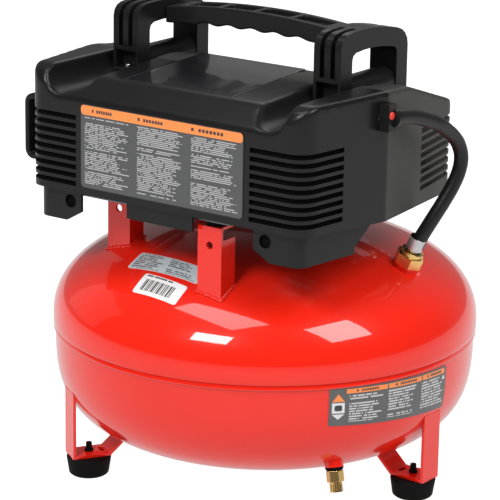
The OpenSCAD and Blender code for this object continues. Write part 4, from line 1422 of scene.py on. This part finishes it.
@dataclass
class Fittings:
    """Small pieces that the CAD model leaves out."""

    tank: Tank
    dial_x: float = 55.0
    dial_z: float = 332.0
    dial_back: float = 106.05
    dial_radius: float = 17.2
    dial_thickness: float = 0.25
    ink_y: float = 106.36
    first_angle: float = 225.0
    sweep: float = 270.0
    ticks: int = 27
    tick_radius: float = 12.8
    number_radius: float = 9.4
    number_size: float = 3.4
    drain_reach: float = 181.0
    drain_turn: float = -33.5
    drain_tilt: float = 18.0
    sealant_drop: float = 4.0

    def tick(self, index: int) -> bmesh.types.BMesh:
        """One tick of a dial, seen flat, longer at each third place.

        Args:
            index: its place round the scale.

        Returns:
            The tick, in metres.
        """
        width, length = (0.5, 3.0) if index % 3 == 0 else (0.3, 1.8)
        turn = math.radians(self.first_angle - self.sweep * index / self.ticks) - math.pi / 2
        bm = slab(width, length, 0.0)
        bmesh.ops.translate(bm, vec=(-0.15, self.tick_radius, 0), verts=bm.verts)
        bmesh.ops.solidify(bm, geom=bm.faces[:], thickness=-0.08)
        bmesh.ops.scale(bm, vec=(MM, MM, MM), verts=bm.verts)
        bmesh.ops.rotate(bm, cent=(0, 0, 0), matrix=Matrix.Rotation(turn, 3, "Z"), verts=bm.verts)
        return bm

    def number(self, index: int) -> bmesh.types.BMesh:
        """A dial's number, seen flat, at one of nine places round its scale.

        Args:
            index: its place. The number is 20 times this.

        Returns:
            The number, in metres.
        """
        curve = bpy.data.curves.new("number", "FONT")
        curve.body = str(index * 20)
        curve.size = self.number_size * MM
        curve.extrude = 0.04 * MM
        curve.align_x = "CENTER"
        bm = solid_of(curve, 1e-7)
        turn = math.radians(self.first_angle - self.sweep * index / 9)
        reach = self.number_radius * MM
        bmesh.ops.translate(bm, vec=(reach * math.cos(turn), reach * math.sin(turn) - 1.2 * MM, 0),
                            verts=bm.verts)
        return bm

    def gauge_dials(self) -> None:
        """Printed dials with ticks and numbers, behind both lenses."""
        r, t = self.dial_radius, self.dial_thickness
        for side, x in (("left", -self.dial_x), ("right", self.dial_x)):
            disc = turned([(0, 0), (r, 0), (r, t), (0, t)], 48)
            add_piece(f"{side}_dial", aim(disc, Vector((x, self.dial_back, self.dial_z)), Vector((0, 1, 0))),
                      DIAL_FACE)
            marks = bmesh.new()
            for i in range(self.ticks + 1):
                absorb(marks, self.tick(i))
            for i in range(0, 10, 3):
                absorb(marks, self.number(i))
            # seen from the front, +X is on the left
            faced = Matrix.Rotation(math.pi, 4, "Z") @ Matrix.Rotation(math.pi / 2, 4, "X")
            matrix = Matrix.Translation(Vector((x, self.ink_y, self.dial_z)) * MM) @ faced
            bmesh.ops.transform(marks, matrix=matrix, verts=marks.verts)
            bmesh.ops.recalc_face_normals(marks, faces=marks.faces)
            add_piece(f"{side}_dial_marks", marks, DIAL_INK, sharp=60.0)

    def plug(self) -> None:
        """The red plug in the elbow's side."""
        bm = turned([(0, -1), (3.7, -1), (3.7, 0.7), (3.0, 1.4), (0, 1.6)], 32)
        add_piece("elbow_plug", aim(bm, Vector((184.2, -70, 386)), Vector((1, 0, 0))), RED_PLASTIC)

    def sealant(self) -> None:
        """The dark thread sealant squeezed out round the drain valve."""
        turn, tilt = math.radians(self.drain_turn), math.radians(self.drain_tilt)
        out = Vector((math.cos(turn), math.sin(turn), 0.0))
        axis = math.sin(tilt) * out - Vector((0.0, 0.0, math.cos(tilt)))
        skin = self.drain_reach * out + Vector((0.0, 0.0, self.tank.bowl_height(self.drain_reach)))
        ring = turned([(6.6, 0.1), (8.6, 0.1), (9.0, 0.9), (8.2, 2.0), (8.0, 2.8), (6.6, 3.3)], 40)
        add_piece("drain_sealant", aim(ring, skin + self.sealant_drop * axis, axis), SHADE_AND_SEALANT_BLACK, sharp=50.0)

    def build(self) -> None:
        """Makes the dials, the plug on the elbow and the drain's sealant."""
        self.gauge_dials()
        self.plug()
        self.sealant()


# ------------------------------------------------------------------ studio


@dataclass(frozen=True)
class SoftBox:
    """A rectangular lamp: its place in degrees and metres, its size, its power in watts and its aim."""

    name: str
    azimuth: float
    elevation: float
    distance: float
    size: Point
    power: float
    aim_at: tuple[float, float, float] = (0, 0, 0.2)


@dataclass
class Studio:
    """A pale floor, a white surround and soft lights."""

    azimuth: float = 34.754
    elevation: float = 15.505
    roll: float = 1.019
    distance: float = 2361.6
    target_height: float = 240.0
    focal: float = 4.7946
    shift: Point = (-0.0332, -0.0573)
    sensor: float = 36.0
    near_glow: float = 0.05
    far_glow: float = 0.2
    low_glow: float = 0.28
    diffuse_glow: float = 0.56
    floor_glow: float = 0.52
    floor_radius: float = 14.0
    lamps: Sequence[SoftBox] = (
        SoftBox("top_box", -29.4, 74.8, 1.55, (1.0, 0.55), 8.0, (0.05, -0.1, 0.2)),
        SoftBox("key_box", 3.0, 40.0, 1.6, (0.5, 0.36), 12.5),
        SoftBox("right_box", 86.0, 47.0, 1.6, (0.62, 0.72), 12.0),
        SoftBox("left_box", -80.0, 20.0, 2.4, (1.4, 1.4), 1.5),
        SoftBox("back_box", 200.0, 40.0, 2.2, (1.4, 0.8), 4.0),
    )

    def direction(self, azimuth: float, elevation: float) -> Vector:
        """Unit vector from the object to a place round it."""
        a, e = math.radians(azimuth), math.radians(elevation)
        return Vector((math.sin(a) * math.cos(e), -math.cos(a) * math.cos(e), math.sin(e)))

    def camera(self) -> None:
        """Makes the camera."""
        data = bpy.data.cameras.new("camera")
        data.sensor_width = self.sensor
        data.lens = self.focal * self.sensor
        data.shift_x, data.shift_y = self.shift
        camera = placed("camera", data)
        back = self.direction(self.azimuth, self.elevation)
        camera.rotation_mode = "QUATERNION"
        camera.location = Vector((0, 0, self.target_height * MM)) + back * self.distance * MM
        turn = Matrix.Rotation(math.radians(self.roll), 3, "Z").to_quaternion()
        camera.rotation_quaternion = (-back).to_track_quat("-Z", "Y") @ turn
        bpy.context.scene.camera = camera

    def light(self, box: SoftBox) -> None:
        """Makes a lamp from its soft box.

        Args:
            box: the soft box.
        """
        data = bpy.data.lights.new(box.name, "AREA")
        data.shape = "RECTANGLE"
        data.size, data.size_y = box.size
        data.energy = box.power
        lamp = placed(box.name, data)
        back = self.direction(box.azimuth, box.elevation)
        lamp.location = Vector(box.aim_at) + back * box.distance
        lamp.rotation_mode = "QUATERNION"
        lamp.rotation_quaternion = (-back).to_track_quat("-Z", "Y")

    def surround(self) -> None:
        """White where the camera looks, and darker overhead and behind the camera for reflections."""
        world = bpy.data.worlds.new("surround")
        world.use_nodes = True
        bpy.context.scene.world = world
        g = Graph(world.node_tree)
        shade = world.node_tree.nodes["Background"]
        start = g.add("TexCoord")
        dot = g.add("VectorMath", operation="DOT_PRODUCT")
        g.link(start.outputs["Generated"], dot.inputs[0])
        dot.inputs[1].default_value = -self.direction(self.azimuth, 0.0)
        split = g.add("SeparateXYZ")
        g.link(start.outputs["Generated"], split.inputs[0])
        behind = g.add("MapRange", interpolation_type="SMOOTHSTEP", From_Min=0.15, From_Max=0.75,
                       To_Min=self.near_glow, To_Max=self.far_glow)
        g.link(dot.outputs["Value"], behind.inputs["Value"])
        low = g.add("MapRange", interpolation_type="SMOOTHSTEP", From_Min=-0.02, From_Max=0.06,
                    To_Min=self.low_glow, To_Max=0.0)
        g.link(split.outputs["Z"], low.inputs["Value"])
        path = g.add("LightPath")
        glow = g.math("MAXIMUM", behind.outputs["Result"], low.outputs["Result"])
        glow = g.math("MAXIMUM", glow, path.outputs["Is Camera Ray"])
        diffuse = g.math("MULTIPLY", path.outputs["Is Diffuse Ray"], self.diffuse_glow)
        g.link(g.math("MAXIMUM", glow, diffuse), shade.inputs["Strength"])
        g.link((1.0, 1.0, 1.0), shade.inputs["Color"])

    def floor(self) -> None:
        """Makes the pale floor."""
        bm = bmesh.new()
        bmesh.ops.create_circle(bm, cap_ends=True, segments=96, radius=self.floor_radius)
        floor = placed("floor", mesh_of("floor", bm))
        material = bpy.data.materials.new("pale_floor")
        material.use_nodes = True
        g = Graph(material.node_tree)
        shader = material.node_tree.nodes["Principled BSDF"]
        patches = g.noise(g.add("TexCoord").outputs["Object"], 3.0)
        g.link(g.mix(patches, (0.28, 0.28, 0.28), (0.32, 0.32, 0.32)), shader.inputs["Base Color"])
        g.link(0.7, shader.inputs["Roughness"])
        g.link(0.0, shader.inputs["Specular IOR Level"])
        g.link((1.0, 1.0, 1.0), shader.inputs["Emission Color"])
        seen = g.math("MULTIPLY", g.add("LightPath").outputs["Is Camera Ray"], 1.0 - self.floor_glow)
        g.link(g.math("ADD", seen, self.floor_glow), shader.inputs["Emission Strength"])
        floor.data.materials.append(material)

    def build(self) -> None:
        """Makes the whole studio."""
        bpy.context.scene.view_settings.view_transform = "Standard"
        self.camera()
        self.surround()
        self.floor()
        for box in self.lamps:
            self.light(box)


def main() -> None:
    """Builds the studio and every sub-assembly."""
    logging.basicConfig(level=logging.INFO, format="%(name)s %(message)s")
    Studio().build()
    tank = Tank()
    tank.build()
    Labels(tank).build()
    Shroud().build()
    Handle().build()
    Hose().build()
    for part in PARTS:
        part.build()
    Fittings(tank).build()


if __name__ == "__main__":
    main()
